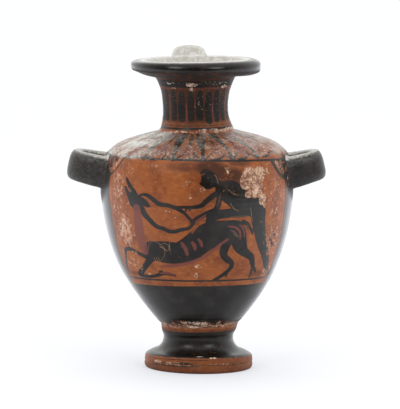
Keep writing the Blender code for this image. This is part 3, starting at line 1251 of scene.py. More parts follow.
@dataclass(frozen=True)
class Beast(Figure):
    """A hoofed animal sunk on its forelegs, facing left, with long horns that sweep back."""

    body: Strokes = strokes(
        Ink.SLIP,
        ((-30, 72.4, 11.6), (-20, 71.7, 13.4), (-12, 71.6, 12.8), (-5, 73.9, 14.6), (1, 77.8, 15.2),
         (6, 80.8, 15.6), (11, 82.8, 14), (18, 84.2, 11.2), (24, 84.2, 10.8), (28, 82.4, 9.4)),
        ((-46.2, 112.2, 1.7), (-44.2, 109.4, 2.6), (-41.4, 106.2, 3.4), (-39.6, 103, 5), (-39.9, 99.2, 5.4),
         (-39.6, 97.2, 4.2)),
        ((-46.8, 107.3, 1.7), (-44.8, 104.4, 2.6), (-42.4, 101.4, 4.4), (-41.6, 98.8, 4)),
        ((-37, 101.6, 3.4), (-34, 100.5, 4), (-31.2, 98.8, 3.4), (-29.3, 97.8, 1.6)),
        ((28.6, 88.8, 2), (31.6, 87.4, 2.1), (33.8, 85.4, 2.1), (35.2, 83.2, 1.9), (36.4, 81.2, 1.2)),
    )
    horns: Strokes = strokes(
        Ink.SLIP,
        ((-38.4, 99.6, 4.4), (-35.2, 96.2, 4.4), (-32.6, 92.8, 3.6), (-30, 90.4, 3), (-27.4, 88, 2.8),
         (-24.4, 86.2, 2.6), (-21, 85.4, 2.4), (-17.6, 84, 2.4), (-14, 83.8, 2.3), (-11, 84.6, 2.3),
         (-8, 85.2, 2.1), (-5, 85.9, 2), (-3, 87.6, 1.8), (-1.8, 89.2, 1.7)),
        ((-37.6, 102.4, 1.6), (-34, 104, 1.5), (-31, 103.9, 2), (-28.2, 102.8, 2.6), (-25.6, 101, 2.8),
         (-23.2, 99.4, 2.7), (-20, 98.8, 2.4), (-17, 98.5, 2.4), (-14, 97.6, 2.3), (-11, 96.4, 2.2),
         (-9, 95.4, 2.1), (-7, 93.9, 1.8), (-5, 91.8, 1.7), (-3, 89.8, 1.7)),
    )
    legs: Strokes = strokes(
        Ink.SLIP,
        ((-32, 68, 4.4), (-36, 68.5, 3.1), (-41, 69.9, 2.5), (-47, 71.7, 2.3), (-51, 72.2, 2.4),
         (-54.6, 71.4, 2.4), (-57.2, 67.2, 2.2), (-60, 61.8, 1.9), (-62.2, 57.6, 1.6)),
        ((-31, 68.8, 4.8), (-36, 65.2, 3.8), (-40.6, 61.9, 3.4), (-44.6, 59.4, 3.4), (-47.6, 57.7, 2.8),
         (-43, 56.9, 2.1), (-37, 57, 2.1), (-32, 57.7, 2), (-28, 58.8, 2.2), (-24, 59.3, 2.2),
         (-20, 59, 2.1), (-16.8, 58.3, 1.6)),
        ((-28.2, 60.3, 1.2), (-26, 60.5, 1.2)),
        ((19.4, 78.6, 6), (17.8, 74.6, 5.4), (17.1, 71.6, 4.8), (17.9, 69.2, 4.1), (20.6, 67, 3.7),
         (23.5, 65.2, 3.1), (23.9, 63.2, 2.9), (22, 60.8, 2.5), (18.6, 58.6, 2.4), (14.6, 56.6, 2.2),
         (11.8, 55.5, 1.8)),
        ((21.2, 61, 1.4), (21, 58.6, 1.1), (20.6, 57, 0.8)),
        ((26.2, 80.4, 10.4), (28, 75.4, 8.6), (31, 71.8, 6), (34.8, 69.5, 4.6), (38.4, 67.6, 4.1),
         (40.6, 64.2, 3.3), (42.8, 61.2, 2.7), (46, 58.7, 1.6)),
        ((41, 63.2, 2), (41.6, 60, 1.6), (41.6, 57.4, 1.3), (41, 55.8, 1)),
    )
    reserved: Strokes = strokes(
        Ink.SLIP,
        ((13.4, 90.4, 0.9), (16.4, 91.3, 1.7), (20, 90.6, 1.1), (25, 90, 0.8), (29.6, 89.9, 0.9),
         (32.6, 89.4, 1.8), (34.8, 87, 1.9), (36, 84.6, 1.2)),
        ((28.5, 86.6, 0.4), (31, 85, 0.8), (32.2, 82, 1.3), (32.9, 78.6, 1.2)),
        ((-3.4, 82.8, 0.5), (-1.6, 85, 1), (0.6, 87.4, 1.1), (3.4, 89.4, 0.7)),
        clears=True,
    )
    purple: Strokes = strokes(
        Ink.PURPLE,
        ((-38.4, 96, 5), (-38, 90, 6.2), (-38.1, 82, 6.5), (-37.3, 76, 6), (-36.2, 71.6, 4.2)),
        ((-26, 63.4, 1.2), (-20, 63.9, 1.9), (-13, 64.6, 2), (-6, 65.8, 1.9), (0, 67.6, 1.9),
         (5, 69.6, 1.7), (10, 72.8, 1.7), (14.6, 76.2, 1.7), (19.2, 79, 1.3)),
        ((-9.8, 77.3, 1.7), (-7.8, 74.4, 2.2), (-6.7, 71, 1.9)),
        ((-3, 77.6, 1.8), (-1.8, 75.6, 2.2), (-1.6, 73.8, 1.6)),
        ((0.8, 79.4, 1.4), (2.2, 77.6, 1.8), (2.8, 75.6, 1.4)),
        ((19, 86.4, 0.8), (24, 85.4, 1.3), (27.2, 82.2, 1.3), (27.6, 78.6, 0.9)),
        ((26.6, 86.8, 0.7), (29.4, 84.2, 1), (30.4, 80, 0.7)),
        ((-28, 59.3, 1), (-24, 59.6, 1.5), (-19, 59.2, 1.3), (-16.8, 58.4, 0.9)),
        ((5, 93, 0.9), (2.4, 91.6, 1), (-1, 89.6, 0.8)),
    )
    incised: Strokes = strokes(
        Ink.INCISED,
        ((-24.4, 76, 0.35), (-21, 77, 0.35), (-18.4, 75.6, 0.4), (-18.8, 72.8, 0.35)),
        ((-24.6, 75, 0.5), (-22.4, 74.2, 0.6), (-19.8, 72.6, 0.4)),
        ((-33.4, 71.8, 0.3), (-32.4, 75.8, 0.35), (-28.4, 78, 0.35), (-24.8, 76.8, 0.3)),
        ((-24.8, 76.8, 0.35), (-21.8, 74.2, 0.35), (-22.2, 70, 0.35), (-25.4, 66.8, 0.3)),
        ((-30, 68.4, 0.35), (-28.8, 65, 0.35)),
        ((-28.4, 68.8, 0.35), (-27.2, 65, 0.35)),
        ((-27, 68.6, 0.35), (-25.8, 65.4, 0.35)),
        ((-17.8, 77.6, 0.35), (-17.6, 70.4, 0.3)),
        ((21, 84, 0.35), (24, 82.7, 0.4), (26.4, 79.6, 0.35)),
        ((22.6, 82.6, 0.35), (24.8, 80.4, 0.4)),
        ((-43.8, 107.2, 0.4), (-41.8, 104.8, 0.4)),
    )


@dataclass(frozen=True)
class Hunter(Figure):
    """A bent figure that presses one knee on the beast and holds its horns."""

    body: Strokes = strokes(
        Ink.SLIP,
        ((4.6, 114.4, 3.6), (7.4, 114.6, 5.6), (10.4, 113.4, 5)),
        ((2.6, 116.2, 1.5), (4.8, 117.6, 1.8), (7.6, 117.4, 1.7), (10, 115.8, 2.2)),
        ((4, 112.4, 3), (6.6, 111.4, 5.2), (9.8, 111, 4.8)),
        ((2.4, 110.8, 1.6), (4.2, 109.8, 2.4), (6.8, 108.8, 2.8), (9.2, 109.6, 2.6)),
        ((9.4, 112.2, 4.8), (12.2, 110.4, 4.4), (15, 109.4, 4.8)),
        ((13.8, 108.4, 5.4), (16.6, 106.9, 10.2), (20.5, 105.6, 12.6), (25, 102.2, 13.2), (29.5, 98.6, 11.8),
         (34, 96.8, 9.4)),
        ((16.4, 102, 3.4), (20.2, 99.8, 4.8), (24, 97.4, 4.2)),
        ((33, 94.2, 5), (36.4, 92.6, 6), (38, 88.4, 6), (39.6, 84, 6)),
        ((33, 97.2, 7.6), (37.6, 97.2, 8.4), (40.3, 93.2, 9.2), (40.7, 88.4, 8.9), (41.6, 84, 8.6),
         (43.4, 79.2, 7.8), (46, 74.6, 7), (49.8, 70, 6.2), (54, 65, 5.4), (58, 60.2, 4.4),
         (61.4, 57.2, 3.6), (64.5, 55.9, 1.8)),
        ((31, 95.2, 8), (25, 94.2, 6.4), (18.6, 93.7, 5.2), (12.6, 93.2, 5.4), (8.8, 91.7, 5.6),
         (7.4, 88.2, 4.6)),
        ((14, 106.6, 3.4), (9.4, 103.7, 3.1), (5.2, 100.7, 2.9), (2.6, 98.5, 2.6), (-1, 97.7, 2.1),
         (-6, 97.6, 1.8), (-10, 97.7, 1.5), (-14, 97.6, 1)),
        ((-5.4, 97.2, 1.1), (-6.8, 95.4, 0.8), (-6.6, 93.8, 0.6)),
        ((-3.4, 97.2, 1), (-4.6, 95.6, 0.7)),
        ((14.2, 106, 3.2), (13.2, 102.2, 3.1), (12.4, 98.4, 3.2), (11, 96, 3.2), (6.4, 94.2, 3),
         (2, 92.2, 2.8), (-1.4, 90.4, 2.4), (-3.4, 89.2, 1.8)),
    )
    reserved: Strokes = strokes(
        Ink.SLIP,
        ((15.2, 99.9, 0.8), (16.4, 98.4, 2.4), (18.8, 97.5, 1)),
        ((2.6, 115.2, 0.5), (3.8, 115.9, 0.6), (5.2, 116.2, 0.2)),
        clears=True,
    )
    incised: Strokes = strokes(
        Ink.INCISED,
        ((11, 115.4, 0.4), (12.2, 112.8, 0.45), (12.6, 110.8, 0.4)),
        ((3.6, 108.6, 0.7), (4.6, 107.4, 0.5)),
        ((14, 105.2, 0.3), (13, 100.6, 0.4), (12, 98, 0.3)),
        ((20, 99.4, 0.35), (22, 96.4, 0.4), (25.4, 94.6, 0.35)),
        ((18.6, 107, 0.3), (22, 104.4, 0.35), (25, 103.6, 0.3)),
        ((33.4, 96, 0.35), (34.4, 92, 0.4), (35.4, 88, 0.35)),
        ((20, 91.5, 0.3), (26, 91.7, 0.4), (32, 91.6, 0.3)),
    )


@dataclass(frozen=True)
class Sprig(Figure):
    """The small stones and sprigs in the field beside the standing leg."""

    body: Strokes = strokes(
        Ink.SLIP,
        ((51.6, 77.4, 0.8), (53.4, 76.2, 1.6), (55.2, 75.4, 1)),
        ((54.6, 74.6, 1), (57.2, 73.6, 1.6), (59.8, 72.4, 0.9)),
        ((53.4, 71.4, 0.8), (55.6, 72.6, 0.9), (57.6, 72.8, 0.7)),
        ((54.2, 77.8, 0.6), (55.8, 79.4, 0.8), (57.6, 79, 0.7), (57.8, 77.2, 0.6)),
    )


@dataclass(frozen=True)
class BudChain:
    """The chain of upright buds on crossing stems that fills the shoulder round the front."""

    pitch: float = 19.7
    first: float = -16.0
    reach: float = 112.0

    def draw(self, canvas: Canvas) -> None:
        """Draws every bud, the two stems that cross beside it and the red oval between them."""
        count = int(self.reach // self.pitch)
        uneven = np.random.default_rng(31).uniform(-1.0, 1.0, (2 * count + 1, 6))
        for number, (turn, size, rise, lean, thin, red) in zip(range(-count, count + 1), uneven):
            at = self.first + number * self.pitch + 1.3 * turn
            fat = 1.0 + 0.16 * size
            canvas.draw(Stroke((
                (at + 2.2 * lean, 134.9, 3.0 * fat), (at + 1.6 * lean, 133.6, 5.2 * fat),
                (at + 1.0 * lean, 132.0, 4.9 * fat), (at + 0.4 * lean, 130.2, 3.4 * fat),
                (at, 128.2, 2.6), (at, 126.2, 2.1), (at, 123.4, 1.9),
            )))
            canvas.draw(Stroke(((at - 3.0, 135.2, 1.3), (at - 1.2, 133.6, 1.8))))
            canvas.draw(Stroke(((at + 3.6, 135.2, 1.2), (at + 1.4, 133.4, 1.8))))
            for side in (-1.0, 1.0):
                width = 1.05 + 0.30 * thin * side
                canvas.draw(Stroke((
                    (at + 1.0 * side, 123.6, width), (at + 5.2 * side, 126.0 + 0.5 * rise, width),
                    (at + 8.8 * side, 129.4, width), (at + 10.8 * side, 132.6, 0.9 * width),
                    (at + 11.0 * side + 1.4 * lean, 135.0, 0.8 * width),
                )))
            middle = at + 0.5 * self.pitch
            canvas.draw(Stroke((
                (middle - 5.2, 123.3, 1.1), (middle, 123.7, 1.5), (middle + 4.8, 125.5, 0.9),
            )))
            width = 4.6 + 1.4 * red
            canvas.draw(Stroke(((middle, 129.6 + rise, 0.8 * width), (middle, 127.0, width)), Ink.PURPLE))


@dataclass(frozen=True)
class NeckTongues:
    """Upright tongues round the neck between ruled lines, with a black belt under the lip."""

    count: int = 22
    first: float = -8.6
    top: float = 157.6
    foot: float = 143.8
    width: float = 4.5
    belt: Pair = (161.0, 165.4)

    def draw(self, canvas: Canvas) -> None:
        """Draws the tongues, the red strokes between some of them, and the lines."""
        uneven = np.random.default_rng(17).uniform(-1.0, 1.0, (self.count, 5))
        for number, (turn, fat, high, low, red) in enumerate(uneven):
            at = self.first + FULL_TURN / self.count * (number + 0.07 * turn)
            width = self.width * (1.0 + 0.16 * fat)
            foot = self.foot + 0.8 * low - (2.4 if low > 0.55 else 0.0)
            canvas.draw(Stroke((
                (at, self.top + 0.9 * high, width * 0.75), (at, 150.0, width), (at, foot, width * 0.9),
            )))
            middle = at + 0.5 * FULL_TURN / self.count
            if red > 0.2:
                line = ((middle, 154.0 + 3.0 * high, 0.9), (middle, 141.6 + low, 1.2))
                canvas.draw(Stroke(line, Ink.PURPLE))
        low, high = self.belt
        belt = np.minimum(canvas.z - low, high - canvas.z)
        where = np.flatnonzero(canvas.outside & (canvas.z > 158.0) & (canvas.z < 165.7) & (canvas.r < 24.0))
        canvas.lay(Ink.SLIP, where, belt[where])
        canvas.ring(Ink.SLIP, 139.4, 0.5)
        canvas.ring(Ink.SLIP, 137.8, 1.2)
        canvas.ring(Ink.SLIP, 166.0, 1.1, True)
        canvas.ring(Ink.PURPLE, 160.3, 0.45)


@dataclass(frozen=True)
class Belt:
    """A belt of wear, crust, loss, darker tone or painted shade round the outside.

    It fades in over the heights `rise` and the angles `start`, and out over `fall` and `end`.
    """

    ink: Ink
    strength: float
    rise: Pair
    fall: Pair
    start: Pair = (-182.0, -181.0)
    end: Pair = (181.0, 182.0)

    def lay(self, canvas: Canvas) -> None:
        """Raises the field."""
        amount = between(self.rise, self.fall, canvas.z) * between(self.start, self.end, canvas.phi)
        canvas.add(self.ink, self.strength * amount * canvas.outside)


@dataclass(frozen=True)
class Wear:
    """Where time has rubbed, pitted, chipped and crusted the surface, and where shade and sheen are painted
    onto it.

    A patch is given by its angle, height, half width, half height and strength.
    """

    losses: tuple[Patch, ...] = (
        (34, 112.4, 7, 7.2, 1), (41, 114.4, 4.8, 5.2, 1), (37.5, 106, 6.4, 5.6, 1),
        (29.8, 110.6, 3.8, 5, 1), (42.4, 100, 3.2, 3.8, 0.95), (44.4, 96.8, 1.4, 2.2, 0.7),
        (34, 117.6, 5, 2.2, 0.6), (46.6, 115, 3.4, 3.4, 0.5), (20, 107.6, 9, 4.6, 0.34),
        (7, 112, 6, 5, 0.3), (-34, 4.9, 4, 1.4, 0.62), (-5.2, 111.4, 2.6, 1.7, 0.49),
        (-8, 110, 3.2, 1.3, 0.47), (-4, 103.4, 1.5, 2.4, 0.47), (-18, 94.8, 2.8, 1.3, 0.49),
        (-13, 92, 1.2, 0.9, 0.55), (3.4, 107.4, 3, 1.8, 0.47), (19.4, 117.6, 2.4, 3.2, 0.5),
        (18, 119, 1.2, 1, 0.6), (0.2, 63.6, 3.4, 2.2, 0.5), (-1.6, 58.6, 2, 3.4, 0.49),
        (-26, 120, 4.4, 2.2, 0.48), (-38.6, 58.6, 3, 1.6, 0.45), (-45.6, 98.8, 1.6, 1.8, 0.5),
        (55.4, 71.4, 1.3, 0.8, 0.9), (31.8, 103.6, 2.6, 2.8, 0.8), (-26, 124.2, 4, 1.5, 0.48),
        (72, 109, 3.6, 5, 0.5), (-50, 5.4, 3.8, 1.6, 0.85), (-52, 86, 6, 7, 0.5), (-50, 77, 6, 6, 0.45),
        (-57, 95, 4, 7, 0.42), (-46, 71, 4, 3, 0.42), (-48, 92, 4, 5, 0.38), (-60, 80, 3, 8, 0.42),
        (-58, 68, 3, 6, 0.4), (-44, 82, 3, 4, 0.4), (-47, 63, 7, 6, 0.41), (-58, 104, 4, 7, 0.42),
        (55, 108, 6, 9, 0.36), (52, 80, 8, 12, 0.37), (18, 4.8, 7, 1.2, 0.5), (31, 4.9, 5, 1.3, 0.52),
        (45, 4.9, 6, 1.1, 0.5), (7, 4.6, 3, 0.9, 0.42), (56, 92, 3, 14, 0.3), (-57, 112, 3.6, 6, 0.36),
    )
    rubbed: tuple[Patch, ...] = (
        (21, 107.4, 8, 4.6, 0.7), (5.6, 115.6, 5, 4, 0.72), (44, 84, 4, 12, 0.5), (-5, 72, 30, 6, 0.42),
        (37, 108, 15, 14, 0.75), (-51, 84, 9, 12, 1), (-56, 100, 9, 18, 0.75), (-50, 64, 14, 9, 0.75),
        (55, 100, 14, 22, 0.75), (57, 76, 13, 16, 0.8), (-50, 117, 16, 7, 0.7), (48, 117, 12, 6, 0.6),
        (38, 62, 12, 6, 0.45), (60, 58, 8, 5, 0.9), (-22, 119, 12, 4, 0.5), (-26, 4.6, 14, 2.2, 0.9),
        (-32, 6.8, 18, 3, 0.4), (5, 60, 44, 5, 0.45), (-54, 108, 8, 12, 0.9),
    )
    hazed_and_shaded: tuple[Patch, ...] = (
        (8, 119.4, 10, 5, 1), (14, 116.4, 9, 6, 1), (22, 114, 9, 6, 1), (-10, 120, 9, 3, 0.5),
        (4, 103, 9, 7, 0.35), (46, 57.5, 8, 2.2, 0.5), (28, 121, 8, 2.5, 0.7), (-50, 58, 8, 1.5, 0.5),
        (30, 6.8, 22, 3, 0.4),
    )
    crusts: tuple[Patch, ...] = (
        (-7, 162.6, 5, 1.8, 0.62), (-6, 159.8, 2.4, 1.8, 0.52), (-44, 163.4, 2.6, 1.1, 0.56),
        (52, 161, 4, 1.3, 0.6), (-36, 160.6, 4.4, 1.1, 0.48), (12.3, 148.4, 1, 1, 0.48),
        (0, 163.2, 40, 2.2, 0.36), (-17.5, 29.2, 4.4, 1, 0.62), (0.7, 28.8, 5.6, 1.8, 0.66),
        (-10, 26.2, 5, 1.1, 0.6), (10, 27, 3, 0.9, 0.58), (24, 26.6, 2, 0.7, 0.55),
        (1, 9.6, 3.6, 0.7, 0.6), (15, 9, 3.8, 0.8, 0.6), (-56, 11.6, 0.8, 0.6, 0.8),
    )
    # pale patches on both sides of the shoulder: painted sheen
    painted_sheen_patches: tuple[Patch, ...] = (
        (-38, 127.5, 7, 3.6, 0.4), (80, 124.5, 8, 3.5, 0.32),
    )
    foot_streaks: tuple[Line, ...] = (
        ((-44, 5, 0.7), (-34, 4.9, 1.5), (-26, 4.7, 1), (-20, 4.8, 2), (-13, 4.9, 1.6), (-6, 4.8, 0.5)),
        ((-8, 3.9, 0.5), (14, 3.8, 0.5), (34, 3.9, 0.6), (60, 4, 0.5)),
        ((-62, 3, 0.4), (-42, 3.1, 0.6), (-22, 3, 0.7), (0, 3.2, 0.5)),
        ((-70, 7.6, 0.3), (-40, 7.8, 0.5), (-12, 7.6, 0.4), (10, 7.7, 0.3)),
        ((-80, 4, 0.6), (-58, 4, 0.5), (-40, 3.9, 0.6)),
    )
    belts: tuple[Belt, ...] = (
        Belt(Ink.WORN, 0.62, (160.8, 161.6), (165.4, 166)),
        Belt(Ink.WORN, 0.95, (26, 27), (29.6, 31.4), (-60, -30), (30, 60)),
        Belt(Ink.HAZE_AND_SHADE, 0.62, (21, 22.6), (23.8, 25.4)),
        Belt(Ink.HAZE_AND_SHADE, 0.30, (25, 26.5), (28, 30), (8, 20)),
        Belt(Ink.LOSS, 0.50, (25.2, 26), (27.4, 28.4)),
        Belt(Ink.WORN, 0.42, (8.8, 9.6), (20, 22)),
        Belt(Ink.LOSS, 0.36, (8.2, 8.7), (9.2, 9.8)),
        Belt(Ink.WORN, 0.30, (-2, -1), (8.6, 9.4)),
        Belt(Ink.WORN, 0.75, (2.6, 3.6), (4.2, 5.2)),
        Belt(Ink.CRUST, 0.34, (3.4, 3.9), (4.8, 5.6)),
        Belt(Ink.LOSS, 0.44, (2.8, 3.2), (4, 4.4), (-60, -48), (-2, 8)),
        Belt(Ink.HAZE_AND_SHADE, 0.52, (-2, -1), (3.2, 3.9)),
        # the darkest band along the foot's bottom edge: partly painted shade where the foot meets the floor
        Belt(Ink.HAZE_AND_SHADE, 1.00, (-2, -1), (0.6, 1.4)),
    )
    neck_radius: float = 25.0
    lip_radius: float = 23.0
    lip_foot: float = 165.8
    handle_slope: float = 0.23
    handle_top: float = 126.0

    def draw(self, canvas: Canvas) -> None:
        """Lays the patches and belts, then the wear, painted shade and painted sheen of each part of the jar.
        """
        inks = (Ink.LOSS, Ink.WORN, Ink.HAZE_AND_SHADE, Ink.CRUST, Ink.DUST_AND_SHEEN)
        for ink, patches in zip(inks, (self.losses, self.rubbed, self.hazed_and_shaded, self.crusts, self.painted_sheen_patches)):
            for phi, height, half_width, half_height, strength in patches:
                canvas.spot(ink, phi, height, (half_width, half_height), strength)
        for belt in self.belts:
            belt.lay(canvas)
        panel = (canvas.z < 122.5) & (canvas.z > 54.0) & (np.abs(canvas.phi) < 66.0) & canvas.outside
        canvas.add(Ink.WORN, 0.30 * panel)
        for line in self.foot_streaks:
            canvas.draw(Stroke(line))
        self.shoulder(canvas)
        self.mouth(canvas)
        self.neck(canvas)
        self.foot(canvas)
        self.handles(canvas)

    def shoulder(self, canvas: Canvas) -> None:
        """Rubs and pits the shoulder, and paints a pale sheen over both its sides."""
        phi, points = canvas.phi, canvas.points
        shoulder = between((122.5, 124.5), (135.0, 136.4), canvas.z) * canvas.outside
        centre = fading(15.0, 60.0, np.abs(phi + 4.0))
        canvas.add(Ink.WORN, (0.74 - 0.14 * centre) * shoulder)
        canvas.add(Ink.HAZE_AND_SHADE, 0.20 * centre * shoulder)
        # painted sheen: pale on the left side and towards the right handle, standing in for the surround's
        # grazing reflection
        painted_sheen = 0.14 + 0.60 * smoothstep(20.0, 56.0, -phi) + 0.16 * smoothstep(28.0, 75.0, phi)
        painted_sheen = painted_sheen * np.clip(0.75 + 0.9 * layered_noise(points, 5.0, 71), 0.1, 1.6)
        painted_sheen = painted_sheen * (1.0 - 0.85 * smoothstep(82.0, 112.0, np.abs(phi)))
        painted_sheen = painted_sheen + 0.26 * between((66.0, 84.0), (100.0, 116.0), phi)
        canvas.add(Ink.DUST_AND_SHEEN, painted_sheen * shoulder)
        pitted = 0.375 + 0.10 * layered_noise(points, 3.4, 72) - 0.12 * smoothstep(90.0, 125.0, np.abs(phi))
        pitted = pitted + 0.07 * between((30.0, 60.0), (90.0, 110.0), -phi)
        canvas.add(Ink.LOSS, pitted * shoulder)

    def mouth(self, canvas: Canvas) -> None:
        """Paints the inside of the mouth and the top of the rim pale as their reflection of the bright
        surround, with a painted sheen along the rim's outer edge.
        """
        z, r, phi, outside = canvas.z, canvas.r, canvas.phi, canvas.outside
        # painted reflection: the inside of the mouth and the rim's top made pale
        mouth = smoothstep(163.0, 168.0, z) * ~outside * ~canvas.bar
        inward = 1.2 * smoothstep(50.0, 80.0, np.abs(phi))
        rim = smoothstep(174.5, 175.0, z) * fading(31.8, 33.2, r + inward) * outside
        canvas.add(Ink.DUST_AND_SHEEN, np.maximum(0.9 * mouth, rim))
        # painted sheen along the rim's outer top edge, weaker to the right and at the sides
        sheen = smoothstep(174.3, 175.0, z) * (r > 32.0) * outside
        sheen = sheen * (1.0 - 0.6 * smoothstep(48.0, 75.0, np.abs(phi)))
        canvas.add(Ink.DUST_AND_SHEEN, (0.25 - 0.12 * smoothstep(-30.0, 20.0, phi)) * sheen)

    def neck(self, canvas: Canvas) -> None:
        """Darkens the neck's ground, partly as painted shade under the lip, darkens the underside of the lip,
        and crusts the foot of the neck.
        """
        z, r, phi, points = canvas.z, canvas.r, canvas.phi, canvas.points
        outside = canvas.outside & (r < self.neck_radius)
        ground = between((138.6, 143.0), (166.0, 167.0), z) * outside
        # painted shade: the neck's ground darker under the overhanging lip, less at the sides, over the
        # clay's own darker tone
        canvas.add(Ink.HAZE_AND_SHADE, (1.0 - 0.40 * smoothstep(55.0, 90.0, np.abs(phi))) * ground)
        # painted shade from the crease at the neck's foot upwards
        canvas.add(Ink.HAZE_AND_SHADE, 0.4 * outside * smoothstep(136.0, 138.0, z))
        canvas.add(Ink.WORN, (0.34 + 0.36 * smoothstep(50.0, 80.0, np.abs(phi))) * ground)
        lip = canvas.outside & (z > self.lip_foot) & (r > self.lip_radius)
        canvas.add(Ink.WORN, (0.58 + 0.30 * fading(23.5, 26.0, r)) * (lip & (z < 170.5)))
        canvas.add(Ink.WORN, 0.86 * lip * fading(170.4, 171.6, z))
        canvas.add(Ink.HAZE_AND_SHADE, lip * fading(170.4, 171.6, z))
        right = smoothstep(-6.0, 10.0, phi)
        level = 136.2 + 0.7 * right + 0.5 * lattice_noise(points, 5.0, 54)
        foot = fading(0.5, 1.2 + 0.4 * right, np.abs(z - level)) * outside
        canvas.add(Ink.CRUST, foot * (0.35 + 0.33 * right + 0.55 * layered_noise(points, 2.2, 53, 2)))
        canvas.add(Ink.CRUST, (0.26 + 0.06 * right) * ground)

    def foot(self, canvas: Canvas) -> None:
        """Rubs and crusts the band above the stem, and dulls the right of the foot's edge."""
        z, phi, outside = canvas.z, canvas.phi, canvas.outside
        band = between((21.0, 22.6), (28.0, 30.0), z) * outside
        canvas.add(Ink.WORN, (0.30 + 0.70 * smoothstep(24.2, 26.4, z)) * band)
        torn = between((26.0, 27.0), (29.6, 31.4), z) * fading(30.0, 60.0, np.abs(phi)) * outside
        canvas.add(Ink.CRUST, (0.30 + 0.10 * fading(10.0, 40.0, np.abs(phi + 6.0))) * torn)
        edge = fading(8.6, 9.4, z) * outside
        canvas.add(Ink.HAZE_AND_SHADE, edge * (0.12 + 0.34 * smoothstep(-14.0, -8.0, phi)))

    def handles(self, canvas: Canvas) -> None:
        """Browns the side handles' roots, films all handles faintly, and paints highlights on the loop tops
        and, with some deposit, on the strap's crest.
        """
        x, y, height = canvas.points.T
        loops = canvas.bar & (height < self.handle_top)
        root = fading(54.6, 58.5, np.hypot(x, y)) * loops * (np.abs(x) > 40.0)
        canvas.add(Ink.HAZE_AND_SHADE, 0.9 * root)
        canvas.add(Ink.WORN, 0.62 * root)
        canvas.add(Ink.HAZE_AND_SHADE, 0.35 * canvas.bar)
        canvas.add(Ink.WORN, 0.40 * canvas.bar)
        # a faint pale film on every handle, more on the left one
        canvas.add(Ink.DUST_AND_SHEEN, np.where(x < 0.0, 0.035, 0.015) * canvas.bar)
        # the strap's crest pale: partly a deposit, partly painted reflection
        canvas.add(Ink.DUST_AND_SHEEN, 0.9 * smoothstep(171.0, 175.0, height) * canvas.bar)
        middle = SideLoop.height - SideLoop.uneven * np.sign(x)
        above = height - middle - self.handle_slope * (np.abs(x) - SideLoop.hinge)
        # painted highlight: the loops' top faces pale, and their upper sides a little paler
        canvas.add(Ink.DUST_AND_SHEEN, 0.75 * smoothstep(7.4, 8.5, above) * loops * (np.abs(x) > 46.0))
        canvas.add(Ink.DUST_AND_SHEEN, 0.10 * smoothstep(2.0, 7.0, above) * loops)
        for side in (-1.0, 1.0):
            across = np.radians(signed_angle(canvas.phi - 90.0 * side)) * canvas.r
            reach = np.hypot(across / 1.5, canvas.z - SideLoop.height)
            near = fading(13.0, 19.0, reach) * canvas.outside * (canvas.z < 124.0)
            canvas.add(Ink.HAZE_AND_SHADE, 0.8 * near)
            canvas.add(Ink.WORN, (0.58 + 0.12 * side) * near)


@dataclass(frozen=True)
class Decoration:
    """All that is painted on the jar, its painted shade and sheen among it, and all that has happened to the
    paint.
    """

    panel: Panel = field(default_factory=Panel)
    figures: tuple[Figure, ...] = field(default_factory=lambda: (Beast(), Hunter(), Sprig()))
    buds: BudChain = field(default_factory=BudChain)
    tongues: NeckTongues = field(default_factory=NeckTongues)
    wear: Wear = field(default_factory=Wear)
    dipped_mouth: float = 150.0
    fillet: Pair = (22.6, 27.4)
    fillet_rise: Pair = (0.5, 1.2)
    foot_edge: float = 8.9
    shoulder_reach: float = 113.0

    def draw(self, canvas: Canvas) -> None:
        """Draws everything on the canvas."""
        self.black_grounds(canvas)
        self.panel.draw(canvas)
        self.buds.draw(canvas)
        self.tongues.draw(canvas)
        for figure in self.figures:
            figure.draw(canvas)
        self.wear.draw(canvas)

    def black_grounds(self, canvas: Canvas) -> None:
        """Lays black slip on the lip, mouth, handles, back, lower body, stem and top of the foot."""
        z, s, bounds = canvas.z, canvas.s, canvas.profile.bounds
        inside = s < bounds[Band.INSIDE][1]
        lip = (s >= bounds[Band.LIP][0]) & (s < bounds[Band.NECK][0])
        layers = [
            np.where(inside, z - self.dipped_mouth, canvas.blank),
            np.where(lip, -canvas.blank, canvas.blank),
            np.where(canvas.bar, -canvas.blank, canvas.blank),
        ]
        back = np.radians(np.abs(canvas.phi) - self.shoulder_reach) * canvas.r
        layers.append(np.where(canvas.outside & (z < 136.0) & (z > 100.0), back, canvas.blank))
        front = np.clip(np.cos(np.radians(canvas.phi)), 0.0, 1.0)
        foot, top = (edge + rise * front for edge, rise in zip(self.fillet, self.fillet_rise))
        ragged = lattice_noise(canvas.points, 1.6, 61)
        torn = layered_noise(canvas.points, 3.6, 62, 3)
        low = np.minimum(z - top + (0.3 + 1.5 * front) * torn, 50.0 - z)
        stem = np.minimum(z - self.foot_edge + 0.22 * ragged, foot - z)
        layers.append(np.where(canvas.outside & (z < 52.0), np.maximum(low, stem), canvas.blank))
        whole = np.clip(np.max(layers, axis=0), canvas.blank, -canvas.blank)
        canvas.field[Ink.SLIP] = np.maximum(canvas.field[Ink.SLIP], whole)


